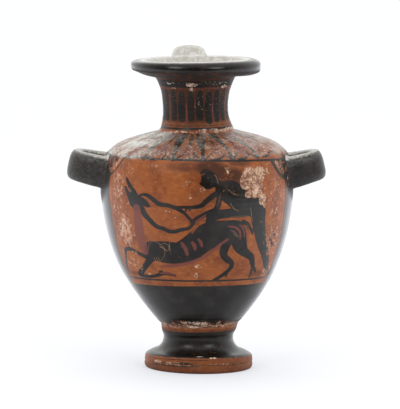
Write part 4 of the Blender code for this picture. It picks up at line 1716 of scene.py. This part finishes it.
@dataclass(frozen=True)
class Relief:
    """How far losses, crusts, scratches and slip stand out from the clay, in mm."""

    slip: float = 0.03
    scratch: float = -0.10
    pit: float = -0.38
    pit_roughness: float = 0.26
    crust: float = 0.35

    def height(self, canvas: Canvas) -> Array:
        """Relief at every point of the skin."""
        points = canvas.points
        slip = self.slip * smoothstep(-0.2, 0.2, canvas.field[Ink.SLIP])
        scratch = self.scratch * smoothstep(-0.1, 0.2, canvas.field[Ink.INCISED])
        loss = smoothstep(0.25, 0.75, canvas.amount[Ink.LOSS] + 0.18 * lattice_noise(points, 1.6, 41))
        rough = self.pit + self.pit_roughness * layered_noise(points, 1.9, 42, 2)
        crust = smoothstep(0.3, 0.8, canvas.amount[Ink.CRUST] + 0.2 * lattice_noise(points, 1.2, 43))
        lumps = self.crust * (1.0 + 0.5 * lattice_noise(points, 1.1, 44))
        return np.where(canvas.bar, 0.0, slip + scratch + loss * rough + crust * lumps)


# ---------------------------------------------------------------- finishes

Socket = bpy.types.NodeSocket
Sockets = bpy.types.bpy_prop_collection
Coat = tuple[Socket, Socket]


def tint(red: int, green: int, blue: int) -> Color:
    """A colour given as it shows on a screen, 0 to 255, as light amounts from 0 to 1."""
    shown = np.array([red, green, blue]) / 255.0
    return tuple(float(v) for v in np.where(shown > 0.04045, ((shown + 0.055) / 1.055) ** 2.4, shown / 12.92))


@dataclass(frozen=True)
class Grain:
    """A noise pattern: the size of its lumps in mm, the layers of finer noise and their strength.

    Its mask rises over the `span` of the noise. A small `stretch` draws it out along that axis.
    """

    cell: float
    detail: float = 3.0
    roughness: float = 0.6
    span: Pair = (0.0, 1.0)
    stretch: Triple | None = None


class NodeBench:
    """Adds nodes to one tree and wires them."""

    def __init__(self, tree: bpy.types.NodeTree) -> None:
        """Works on this tree."""
        self.tree = tree

    def node(self, kind: str, **settings: object) -> bpy.types.Node:
        """A new node with these properties."""
        made = self.tree.nodes.new(kind)
        for name, value in settings.items():
            setattr(made, name, value)
        return made

    def feed(self, socket: Socket, value: object) -> None:
        """Links a socket, or sets a plain value on it."""
        if isinstance(value, Socket):
            self.tree.links.new(value, socket)
        elif isinstance(value, tuple) and len(value) == 3 and len(socket.default_value) == 4:
            socket.default_value = (*value, 1.0)
        else:
            socket.default_value = value

    def wired(self, kind: str, values: dict[str, object], **settings: object) -> bpy.types.Node:
        """A new node with these properties, and these values on its named sockets."""
        made = self.node(kind, **settings)
        for name, value in values.items():
            self.feed(made.inputs[name], value)
        return made

    def math(self, operation: str, *values: object, clamp: bool = False) -> Socket:
        """A Math node on these values."""
        made = self.node("ShaderNodeMath", operation=operation, use_clamp=clamp)
        for socket, value in zip(made.inputs, values):
            self.feed(socket, value)
        return made.outputs[0]

    def times(self, *values: object) -> Socket:
        """The product of these values."""
        return reduce(lambda first, second: self.math("MULTIPLY", first, second), values)

    def plus(self, *values: object, clamp: bool = False) -> Socket:
        """The sum of these values."""
        return reduce(lambda first, second: self.math("ADD", first, second, clamp=clamp), values)

    def less(self, value: object, taken: object, clamp: bool = False) -> Socket:
        """The first value less the second."""
        return self.math("SUBTRACT", value, taken, clamp=clamp)

    def greatest(self, *values: object) -> Socket:
        """The greatest of these values."""
        return reduce(lambda first, second: self.math("MAXIMUM", first, second), values)

    def weighed(self, *parts: tuple[object, float]) -> Socket:
        """The sum of values, each times its weight."""
        return self.plus(*(self.times(value, weight) for value, weight in parts))

    def swing(self, noise: Socket, reach: object) -> Socket:
        """Noise from 0 to 1 turned into a swing about 0 of this width."""
        return self.times(self.less(noise, 0.5), reach)

    def mix(self, share: object, first: object, second: object) -> Socket:
        """The first colour going over into the second."""
        made = self.node("ShaderNodeMix", data_type="RGBA")
        for name, value in (("Factor_Float", share), ("A_Color", first), ("B_Color", second)):
            self.feed(next(s for s in made.inputs if s.identifier == name), value)
        return next(s for s in made.outputs if s.identifier == "Result_Color")

    def step(self, value: object, low: object, high: object) -> Socket:
        """0 below `low`, 1 above `high`, smooth between."""
        values = {"Value": value, "From Min": low, "From Max": high}
        return self.wired("ShaderNodeMapRange", values, interpolation_type="SMOOTHSTEP").outputs["Result"]

    def blend(self, share: object, first: object, second: object) -> Socket:
        """The first number going over into the second."""
        values = {"Value": share, "To Min": first, "To Max": second}
        return self.wired("ShaderNodeMapRange", values, clamp=True).outputs["Result"]

    def noise(self, place: Socket, grain: Grain) -> Socket:
        """Noise from 0 to 1."""
        where = self.scaled(place, grain.stretch) if grain.stretch else place
        size = {"Scale": 1.0 / grain.cell, "Detail": grain.detail, "Roughness": grain.roughness}
        return self.wired("ShaderNodeTexNoise", {"Vector": where, **size}).outputs[0]

    def patches(self, place: Socket, grain: Grain) -> Socket:
        """The mask of a noise pattern."""
        return self.step(self.noise(place, grain), *grain.span)

    def specks(self, noise: Socket, amount: object, cut: Triple) -> Socket:
        """A mask of the noise above a level that falls as an amount grows.

        `cut` gives the level at no amount, its fall at an amount of 1, and the width of the edge.
        """
        level = self.less(cut[0], self.times(amount, cut[1]))
        return self.step(noise, level, self.plus(level, cut[2]))

    def scaled(self, place: Socket, factors: Triple) -> Socket:
        """Places scaled along each axis."""
        made = self.node("ShaderNodeVectorMath", operation="MULTIPLY")
        self.feed(made.inputs[0], place)
        self.feed(made.inputs[1], factors)
        return made.outputs[0]

    def field(self, name: str) -> Socket:
        """A number carried by the skin's points."""
        return self.node("ShaderNodeAttribute", attribute_name=name).outputs["Fac"]

    def place(self) -> Socket:
        """Object coordinates in millimetres."""
        coordinates = self.node("ShaderNodeTexCoord").outputs["Object"]
        return self.scaled(coordinates, (1.0 / MM, 1.0 / MM, 1.0 / MM))

    def group(self, tree: bpy.types.NodeTree, **values: object) -> dict[str, Socket]:
        """A node group placed with these inputs, as its outputs by name."""
        return dict(self.wired("ShaderNodeGroup", values, node_tree=tree).outputs.items())


class EffectGroup:
    """Base of the shared effects: each builds its node group once.

    An input or output is given as its name and the kind of its socket, with a colon between.
    """

    name: str = "effect"
    inputs: tuple[str, ...] = ()
    outputs: tuple[str, ...] = ()

    def tree(self) -> bpy.types.NodeTree:
        """The group, built on first use."""
        made = bpy.data.node_groups.get(self.name)
        if made:
            return made
        made = bpy.data.node_groups.new(self.name, "ShaderNodeTree")
        for direction, sockets in (("INPUT", self.inputs), ("OUTPUT", self.outputs)):
            for name, kind in (pair.split(":") for pair in sockets):
                made.interface.new_socket(name, in_out=direction, socket_type=f"NodeSocket{kind}")
        bench = NodeBench(made)
        given, results = bench.node("NodeGroupInput"), bench.node("NodeGroupOutput")
        for name, value in self.effect(bench, given.outputs).items():
            bench.feed(results.inputs[name], value)
        return made

    def effect(self, bench: NodeBench, given: Sockets) -> dict[str, Socket]:
        """Builds the nodes.

        Args:
            bench: the group's bench.
            given: its inputs.

        Returns:
            What each output gets.
        """
        raise NotImplementedError


class BrushEdge(EffectGroup):
    """Turns a field of distances into the mask of a painted shape with a hand-drawn edge."""

    name = "brush_edge"
    inputs = ("Field:Float", "Wobble:Float", "Softness:Float", "Position:Vector")
    outputs = ("Mask:Float",)

    ragged: Grain = Grain(1.5)

    def effect(self, bench: NodeBench, given: Sockets) -> dict[str, Socket]:
        """The field plus noise, cut at 0."""
        shift = bench.swing(bench.noise(given["Position"], self.ragged), given["Wobble"])
        moved = bench.plus(given["Field"], bench.times(shift, 2.0))
        return {"Mask": bench.step(moved, bench.times(given["Softness"], -1.0), given["Softness"])}


class Flaking(EffectGroup):
    """Where a film has flaked or rubbed off: more and larger specks as the amount grows."""

    name = "flaking"
    inputs = ("Amount:Float", "Position:Vector")
    outputs = ("Mask:Float",)
    coarse: Grain = Grain(3.2, roughness=0.65)
    fine: Grain = Grain(0.9, 2.0)
    cut: Triple = (0.72, 0.24, 0.05)

    def effect(self, bench: NodeBench, given: Sockets) -> dict[str, Socket]:
        """Two noises added together, cut at a level that falls as the amount grows."""
        coarse, fine = (bench.noise(given["Position"], grain) for grain in (self.coarse, self.fine))
        both = bench.weighed((coarse, 0.6), (fine, 0.4))
        return {"Mask": bench.specks(both, given["Amount"], self.cut)}


class FiredClay(EffectGroup):
    """The bare fired clay: mottled orange brown, paler and pinker where it is worn."""

    name = "fired_clay"
    inputs = ("Position:Vector", "Worn:Float")
    outputs = ("Color:Color", "Height:Float")
    fresh: Color = tint(144, 77, 31)
    deep: Color = tint(112, 54, 22)
    bright: Color = tint(168, 102, 52)
    worn: Color = tint(190, 144, 116)
    chalky: Color = tint(228, 202, 184)
    cloud: Grain = Grain(12.0, 5.0, 0.65, (0.34, 0.62))
    streaks: Grain = Grain(1.6, 4.0, 0.65, (0.46, 0.72), (0.5, 0.5, 1.0))
    grain: Grain = Grain(0.55, 2.0, 0.6, (0.58, 0.74))
    rubbing: Grain = Grain(2.4, 5.0, 0.7)
    speckle: Grain = Grain(1.1, 4.0, 0.7)
    rubbing_cut: Triple = (0.86, 0.44, 0.14)
    speckle_cut: Triple = (0.84, 0.25, 0.06)

    def effect(self, bench: NodeBench, given: Sockets) -> dict[str, Socket]:
        """Two scales of mottling, two layers of wear and a dark grain."""
        position, worn = given["Position"], given["Worn"]
        grain, rubbed = (bench.noise(position, pattern) for pattern in (self.grain, self.rubbing))
        speckled = bench.specks(bench.noise(position, self.speckle), worn, self.speckle_cut)
        color = bench.mix(bench.patches(position, self.cloud), self.deep, self.fresh)
        layers = (
            (bench.patches(position, self.streaks), 0.50, self.bright),
            (bench.specks(rubbed, worn, self.rubbing_cut), 0.85, self.worn),
            (speckled, 0.90, self.chalky),
            (bench.step(grain, *self.grain.span), 0.40, self.deep),
        )
        for mask, strength, over in layers:
            color = bench.mix(bench.times(mask, strength), color, over)
        return {"Color": color, "Height": bench.weighed((grain, 0.5), (rubbed, 0.5))}


class BlackGloss(EffectGroup):
    """The fired black slip: a thin glossy film with faint wheel streaks, browner where it is thin."""

    name = "black_gloss"
    inputs = ("Position:Vector", "Thin:Float", "Rubbed:Float")
    outputs = ("Color:Color", "Roughness:Float", "Height:Float")
    black: Color = tint(16, 12, 9)
    grey: Color = tint(36, 31, 27)
    brown: Color = tint(62, 38, 26)
    cloud: Grain = Grain(9.0, span=(0.42, 0.70))
    streaks: Grain = Grain(1.1, span=(0.66, 0.95), stretch=(0.16, 0.16, 1.0))
    fine: Grain = Grain(0.5, 2.0)
    gloss: float = 0.14
    rubbed_dulling: float = 0.18

    def effect(self, bench: NodeBench, given: Sockets) -> dict[str, Socket]:
        """Cloudy tone and fine level streaks."""
        grains = (self.cloud, self.streaks, self.fine)
        cloud, streaks, fine = (bench.noise(given["Position"], grain) for grain in grains)
        color = bench.mix(bench.step(cloud, *self.cloud.span), self.black, self.grey)
        thin = bench.step(bench.plus(streaks, given["Thin"]), *self.streaks.span)
        color = bench.mix(thin, color, self.brown)
        spread = bench.weighed((cloud, 0.12), (fine, 0.08))
        rubbed = bench.times(given["Rubbed"], self.rubbed_dulling)
        roughness = bench.plus(rubbed, bench.plus(spread, self.gloss))
        height = bench.weighed((streaks, 0.7), (fine, 0.3))
        return {"Color": color, "Roughness": roughness, "Height": height}


@dataclass(frozen=True)
class SlippedClay:
    """The jar's whole finish: clay, black gloss, added red, scratched lines, losses and crusts.

    `edges` gives the wobble and the softness of each drawn ink's edge, in mm.
    """

    name: str = "slipped_clay"
    red: Color = tint(108, 54, 46)
    scratched: Color = tint(150, 112, 82)
    # colour of the darker layer, which also carries painted shade
    hazed_and_shaded: Color = tint(62, 31, 13)
    pitted: Color = tint(208, 174, 146)
    pit_shadow: Color = tint(120, 76, 52)
    crust: Color = tint(218, 196, 178)
    crust_shadow: Color = tint(146, 112, 90)
    # colours of the pale layer, which also carries painted sheen and reflection
    dust: Color = tint(216, 215, 208)
    dim_dust_and_sheen: Color = tint(188, 185, 175)
    speckle: Grain = Grain(1.2, 3.0, 0.7)
    haze_and_shade_cloud: Grain = Grain(2.6, 4.0, 0.65, (0.10, 0.50))
    pit_mottle: Grain = Grain(3.2, 4.0, 0.7, (0.62, 0.90))
    pit_specks: Grain = Grain(0.9, 3.0, 0.7, (0.52, 0.60))
    crust_lumps: Grain = Grain(1.0, 3.0, 0.7, (0.42, 0.64))
    dust_and_sheen_cloud: Grain = Grain(2.2, 4.0, 0.7, (0.40, 0.62))
    pit_span: Pair = (0.42, 0.58)
    pit_raggedness: float = 0.9
    crust_span: Pair = (0.45, 0.62)
    crust_raggedness: float = 1.1
    edges: dict[Ink, Pair] = field(default_factory=lambda: {
        Ink.SLIP: (0.22, 0.16), Ink.PURPLE: (0.3, 0.25), Ink.INCISED: (0.08, 0.15),
    })
    flaking: float = 0.85
    haze_and_shade_thinning: float = 0.17
    haze_and_shade_strength: float = 0.95
    pit_shade: float = 0.85
    red_strength: float = 0.82
    scratch_strength: float = 0.62
    dust_and_sheen_strength: float = 0.95
    dust_and_sheen_grain: float = 5.0
    clay_roughness: float = 0.44
    haze_dulling: float = 0.8
    dull_roughness: float = 0.8
    film_relief: float = 0.4
    gloss_relief: float = 0.35
    film_ior: float = 1.36
    bump_strength: float = 0.5
    bump: float = 0.05

    def material(self) -> bpy.types.Material:
        """Builds the material from the fields that the skin's points carry."""
        material = bpy.data.materials.new(self.name)
        material.use_nodes = True
        bench = NodeBench(material.node_tree)
        shader = material.node_tree.nodes["Principled BSDF"]
        place = bench.place()
        fields = {ink: bench.field(ink.value) for ink in Ink}
        worn, hazed_and_shaded = fields[Ink.WORN], fields[Ink.HAZE_AND_SHADE]
        clay = bench.group(FiredClay().tree(), Position=place, Worn=worn)
        thin = bench.times(hazed_and_shaded, self.haze_and_shade_thinning)
        gloss = bench.group(BlackGloss().tree(), Position=place, Rubbed=worn, Thin=thin)
        flaked = bench.group(Flaking().tree(), Amount=worn, Position=place)["Mask"]
        kept = bench.less(1.0, bench.times(flaked, self.flaking), clamp=True)
        masks = {}
        for ink, (wobble, soft) in self.edges.items():
            edge = bench.group(
                BrushEdge().tree(), Field=fields[ink], Wobble=wobble, Softness=soft, Position=place)
            masks[ink] = edge["Mask"]
        black = bench.times(masks[Ink.SLIP], kept)
        red = bench.times(masks[Ink.PURPLE], kept, self.red_strength)
        scratch = bench.times(masks[Ink.INCISED], self.scratch_strength)
        speckle = bench.noise(place, self.speckle)
        loss, bare = self.pitting(bench, place, fields[Ink.LOSS], speckle)
        crust, crusted = self.crusting(bench, place, fields[Ink.CRUST])
        # the pale layer: partly a deposit, partly painted sheen and reflection
        dust, dust_and_sheen_color = self.powder_and_sheen(bench, place, fields[Ink.DUST_AND_SHEEN], speckle)
        # the darker layer: the clay's own tone, and painted shade on the neck under the lip and along the
        # foot's bottom edge
        cloud = bench.patches(place, self.haze_and_shade_cloud)
        color = bench.mix(bench.times(hazed_and_shaded, cloud, self.haze_and_shade_strength), clay["Color"], self.hazed_and_shaded)
        layers = (
            (black, gloss["Color"]), (red, self.red), (scratch, self.scratched), (loss, bare),
            (crust, crusted), (dust, dust_and_sheen_color),
        )
        for mask, over in layers:
            color = bench.mix(mask, color, over)
        dull = bench.greatest(loss, crust, scratch, dust)
        film = bench.times(bench.greatest(black, bench.times(red, 0.5)), bench.less(1.0, dull))
        roughness = bench.blend(film, self.clay_roughness, gloss["Roughness"])
        roughness = bench.blend(bench.times(hazed_and_shaded, self.haze_dulling), roughness, self.dull_roughness)
        height = bench.blend(film, clay["Height"], bench.times(gloss["Height"], self.gloss_relief))
        height = bench.plus(height, bench.times(film, self.film_relief))
        relief = {"Height": height, "Strength": self.bump_strength, "Distance": self.bump * MM}
        bench.feed(shader.inputs["Base Color"], color)
        bench.feed(shader.inputs["Roughness"], roughness)
        bench.feed(shader.inputs["Normal"], bench.wired("ShaderNodeBump", relief).outputs["Normal"])
        bench.feed(shader.inputs["IOR"], self.film_ior)
        return material

    def pitting(self, bench: NodeBench, place: Socket, amount: Socket, speckle: Socket) -> Coat:
        """Mask and colour of the places where the surface is lost."""
        ragged = bench.plus(amount, bench.swing(speckle, self.pit_raggedness))
        mask = bench.step(ragged, *self.pit_span)
        mottle = bench.plus(bench.noise(place, self.pit_mottle), bench.times(speckle, 0.5))
        color = bench.mix(bench.step(mottle, *self.pit_mottle.span), self.pit_shadow, self.pitted)
        specks = bench.times(bench.patches(place, self.pit_specks), self.pit_shade)
        return mask, bench.mix(specks, color, self.pit_shadow)

    def crusting(self, bench: NodeBench, place: Socket, amount: Socket) -> Coat:
        """Mask and colour of the crusts."""
        lumps = bench.noise(place, self.crust_lumps)
        ragged = bench.plus(amount, bench.swing(lumps, self.crust_raggedness))
        color = bench.mix(bench.step(lumps, *self.crust_lumps.span), self.crust_shadow, self.crust)
        return bench.step(ragged, *self.crust_span), color

    def powder_and_sheen(self, bench: NodeBench, place: Socket, amount: Socket, speckle: Socket) -> Coat:
        """Mask and colour of the pale layer, partly a deposit and partly painted sheen and reflection: even
        where it is thick or absent, grainy between.
        """
        thinness = bench.times(amount, bench.less(1.0, amount))
        grain = bench.times(bench.swing(speckle, self.dust_and_sheen_grain), thinness)
        mask = bench.plus(bench.times(amount, self.dust_and_sheen_strength), grain, clamp=True)
        return mask, bench.mix(bench.patches(place, self.dust_and_sheen_cloud), self.dim_dust_and_sheen, self.dust)


# ---------------------------------------------------------------- the piece


@dataclass
class HydriaPiece:
    """Makes the jar's one piece and dresses it."""

    name: str = "painted_hydria"
    vessel: Vessel = field(default_factory=Vessel)
    unrolled: Unrolled = field(default_factory=Unrolled)
    decoration: Decoration = field(default_factory=Decoration)
    relief: Relief = field(default_factory=Relief)
    finish: SlippedClay = field(default_factory=SlippedClay)

    def build(self) -> bpy.types.Object:
        """Builds the mesh with its painted fields, its UV map and its material."""
        skin = self.vessel.skin()
        canvas = Canvas(skin)
        self.decoration.draw(canvas)
        points = skin.values("point")
        _, normals, _, _ = skin.wall.frame(skin.values("phi"), skin.values("s"))
        points = self.vessel.placed(points + normals * self.relief.height(canvas)[:, None])
        faces = [face for block, _ in skin.faces for face in block.tolist()]
        charts = np.concatenate([np.full(len(block), chart.value) for block, chart in skin.faces])
        mesh = bpy.data.meshes.new(self.name)
        mesh.from_pydata(points, [], faces)
        work = bmesh.new()
        work.from_mesh(mesh)
        bmesh.ops.recalc_face_normals(work, faces=work.faces)
        work.to_mesh(mesh)
        work.free()
        mesh.shade_smooth()
        layer = mesh.uv_layers.new(name="OFBake")
        layer.uv.foreach_set("vector", self.unrolled.loops(mesh, skin, charts).astype(np.float32).ravel())
        for ink, values in {**canvas.field, **canvas.amount}.items():
            attribute = mesh.attributes.new(ink.value, "FLOAT", "POINT")
            attribute.data.foreach_set("value", values.astype(np.float32))
        mesh.materials.append(self.finish.material())
        mesh.update()
        piece = bpy.data.objects.new(self.name, mesh)
        bpy.context.scene.collection.objects.link(piece)
        LOG.info("%s: %d points, %d faces", self.name, len(mesh.vertices), len(mesh.polygons))
        return piece


# ---------------------------------------------------------------- studio


@dataclass(frozen=True)
class Softbox:
    """A rectangular lamp that faces the jar."""

    name: str
    place: Triple
    size: Pair
    power: float
    color: Triple = (1.0, 1.0, 1.0)
    target: Triple = (0.0, 0.0, 0.09)

    def build(self) -> None:
        """Makes the lamp and turns it towards its target."""
        data = bpy.data.lights.new(self.name, "AREA")
        data.shape = "RECTANGLE"
        data.size, data.size_y = self.size
        data.energy = self.power
        data.color = self.color
        lamp = bpy.data.objects.new(self.name, data)
        lamp.location = self.place
        away = Vector(self.place) - Vector(self.target)
        lamp.rotation_euler = away.to_track_quat("Z", "Y").to_euler()
        bpy.context.scene.collection.objects.link(lamp)


@dataclass
class Studio:
    """A plain pale floor, soft light from all round and the camera."""

    floor_size: float = 30.0
    floor_front: float = -0.45
    floor_albedo: Triple = (0.44, 0.445, 0.46)
    floor_glow: Triple = (0.93, 0.95, 1.0)
    glow_near: float = 0.44
    glow_far: float = 1.45
    glow_aside: Pair = (0.07, 0.25)
    glow_behind: Pair = (-0.02, 0.20)
    floor_roughness: float = 0.8
    tone: Triple = (1.0, 1.0, 1.0)
    front_light: float = 0.06
    back_light: float = 1.45
    back_rise: Pair = (-0.25, 0.55)
    side_light: float = 0.5
    side_rise: Pair = (0.75, 0.98)
    overhead_light: float = 1.45
    overhead_rise: Pair = (0.30, 0.95)
    softboxes: tuple[Softbox, ...] = (
        Softbox("softbox_left", (-0.62, -0.80, 0.66), (0.40, 0.40), 3.2),
        Softbox("softbox_right", (0.62, -0.80, 0.66), (0.40, 0.40), 3.2),
    )
    target: Triple = (0.00205, 0.0, 0.09232)
    distance: float = 2.3
    elevation: float = math.radians(6.4)
    roll: float = math.radians(0.77)
    lens: float = 358.4

    def build(self) -> None:
        """Makes the floor, the surround, the lamps and the camera."""
        self.floor()
        self.world()
        for softbox in self.softboxes:
            softbox.build()
        self.camera()
        bpy.context.scene.view_settings.view_transform = "Standard"

    def floor(self) -> None:
        """Makes the floor, a plain sheet at height 0 that ends a little way in front of the jar.

        It is lit from below, more so behind the jar and to both sides.
        """
        half, front = 0.5 * self.floor_size, self.floor_front
        mesh = bpy.data.meshes.new("studio_floor")
        corners = [(-half, front, 0.0), (half, front, 0.0), (half, half, 0.0), (-half, half, 0.0)]
        mesh.from_pydata(corners, [], [(0, 1, 2, 3)])
        floor = bpy.data.objects.new("studio_floor", mesh)
        material = bpy.data.materials.new("pale_floor")
        material.use_nodes = True
        shader = material.node_tree.nodes["Principled BSDF"]
        bench = NodeBench(material.node_tree)
        bench.feed(shader.inputs["Base Color"], self.floor_albedo)
        bench.feed(shader.inputs["Roughness"], self.floor_roughness)
        bench.feed(shader.inputs["Emission Color"], self.floor_glow)
        where = bench.node("ShaderNodeTexCoord").outputs["Object"]
        place = bench.wired("ShaderNodeSeparateXYZ", {"Vector": where})
        aside = bench.step(bench.math("ABSOLUTE", place.outputs["X"]), *self.glow_aside)
        far = bench.greatest(aside, bench.step(place.outputs["Y"], *self.glow_behind))
        unseen = bench.less(1.0, bench.node("ShaderNodeLightPath").outputs["Is Camera Ray"])
        glow = bench.blend(bench.times(far, unseen), self.glow_near, self.glow_far)
        bench.feed(shader.inputs["Emission Strength"], glow)
        mesh.materials.append(material)
        bpy.context.scene.collection.objects.link(floor)

    def world(self) -> None:
        """A surround that is dim in front, bright behind and overhead, and brightest at both sides.

        Light by direction: front + (back - front) * step(y) + side * step(|x|), going over to the
        overhead value by step(z). The camera itself sees white.
        """
        world = bpy.data.worlds.new("surround")
        world.use_nodes = True
        tree = world.node_tree
        bench = NodeBench(tree)
        light, out = tree.nodes["Background"], tree.nodes["World Output"]
        where = bench.node("ShaderNodeTexCoord").outputs["Generated"]
        direction = bench.wired("ShaderNodeSeparateXYZ", {"Vector": where})
        back = bench.step(direction.outputs["Y"], *self.back_rise)
        side = bench.step(bench.math("ABSOLUTE", direction.outputs["X"]), *self.side_rise)
        level = bench.blend(back, self.front_light, self.back_light)
        level = bench.plus(level, bench.times(side, self.side_light))
        overhead = bench.step(direction.outputs["Z"], *self.overhead_rise)
        bench.feed(light.inputs["Strength"], bench.blend(overhead, level, self.overhead_light))
        bench.feed(light.inputs["Color"], self.tone)
        seen = bench.wired("ShaderNodeBackground", {"Color": (1.0, 1.0, 1.0)})
        mix = bench.node("ShaderNodeMixShader")
        camera_ray = bench.node("ShaderNodeLightPath").outputs["Is Camera Ray"]
        for socket, given in zip(mix.inputs, (camera_ray, light.outputs[0], seen.outputs[0])):
            bench.feed(socket, given)
        bench.feed(out.inputs["Surface"], mix.outputs[0])
        bpy.context.scene.world = world

    def camera(self) -> None:
        """A long lens looking slightly down at the front."""
        data = bpy.data.cameras.new("camera")
        data.lens = self.lens
        data.sensor_width = 36.0
        data.clip_end = 100.0
        camera = bpy.data.objects.new("camera", data)
        back = Vector((0.0, -math.cos(self.elevation), math.sin(self.elevation)))
        camera.location = Vector(self.target) + self.distance * back
        turn = back.to_track_quat("Z", "Y").to_matrix() @ Matrix.Rotation(self.roll, 3, "Z")
        camera.rotation_euler = turn.to_euler()
        bpy.context.scene.collection.objects.link(camera)
        bpy.context.scene.camera = camera


def main() -> None:
    """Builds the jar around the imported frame, and its studio."""
    logging.basicConfig(level=logging.INFO, format="%(name)s: %(message)s")
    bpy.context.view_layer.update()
    Studio().build()
    jar = HydriaPiece().build()
    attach(jar, "root")
    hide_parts("hydria")


if __name__ == "__main__":
    main()
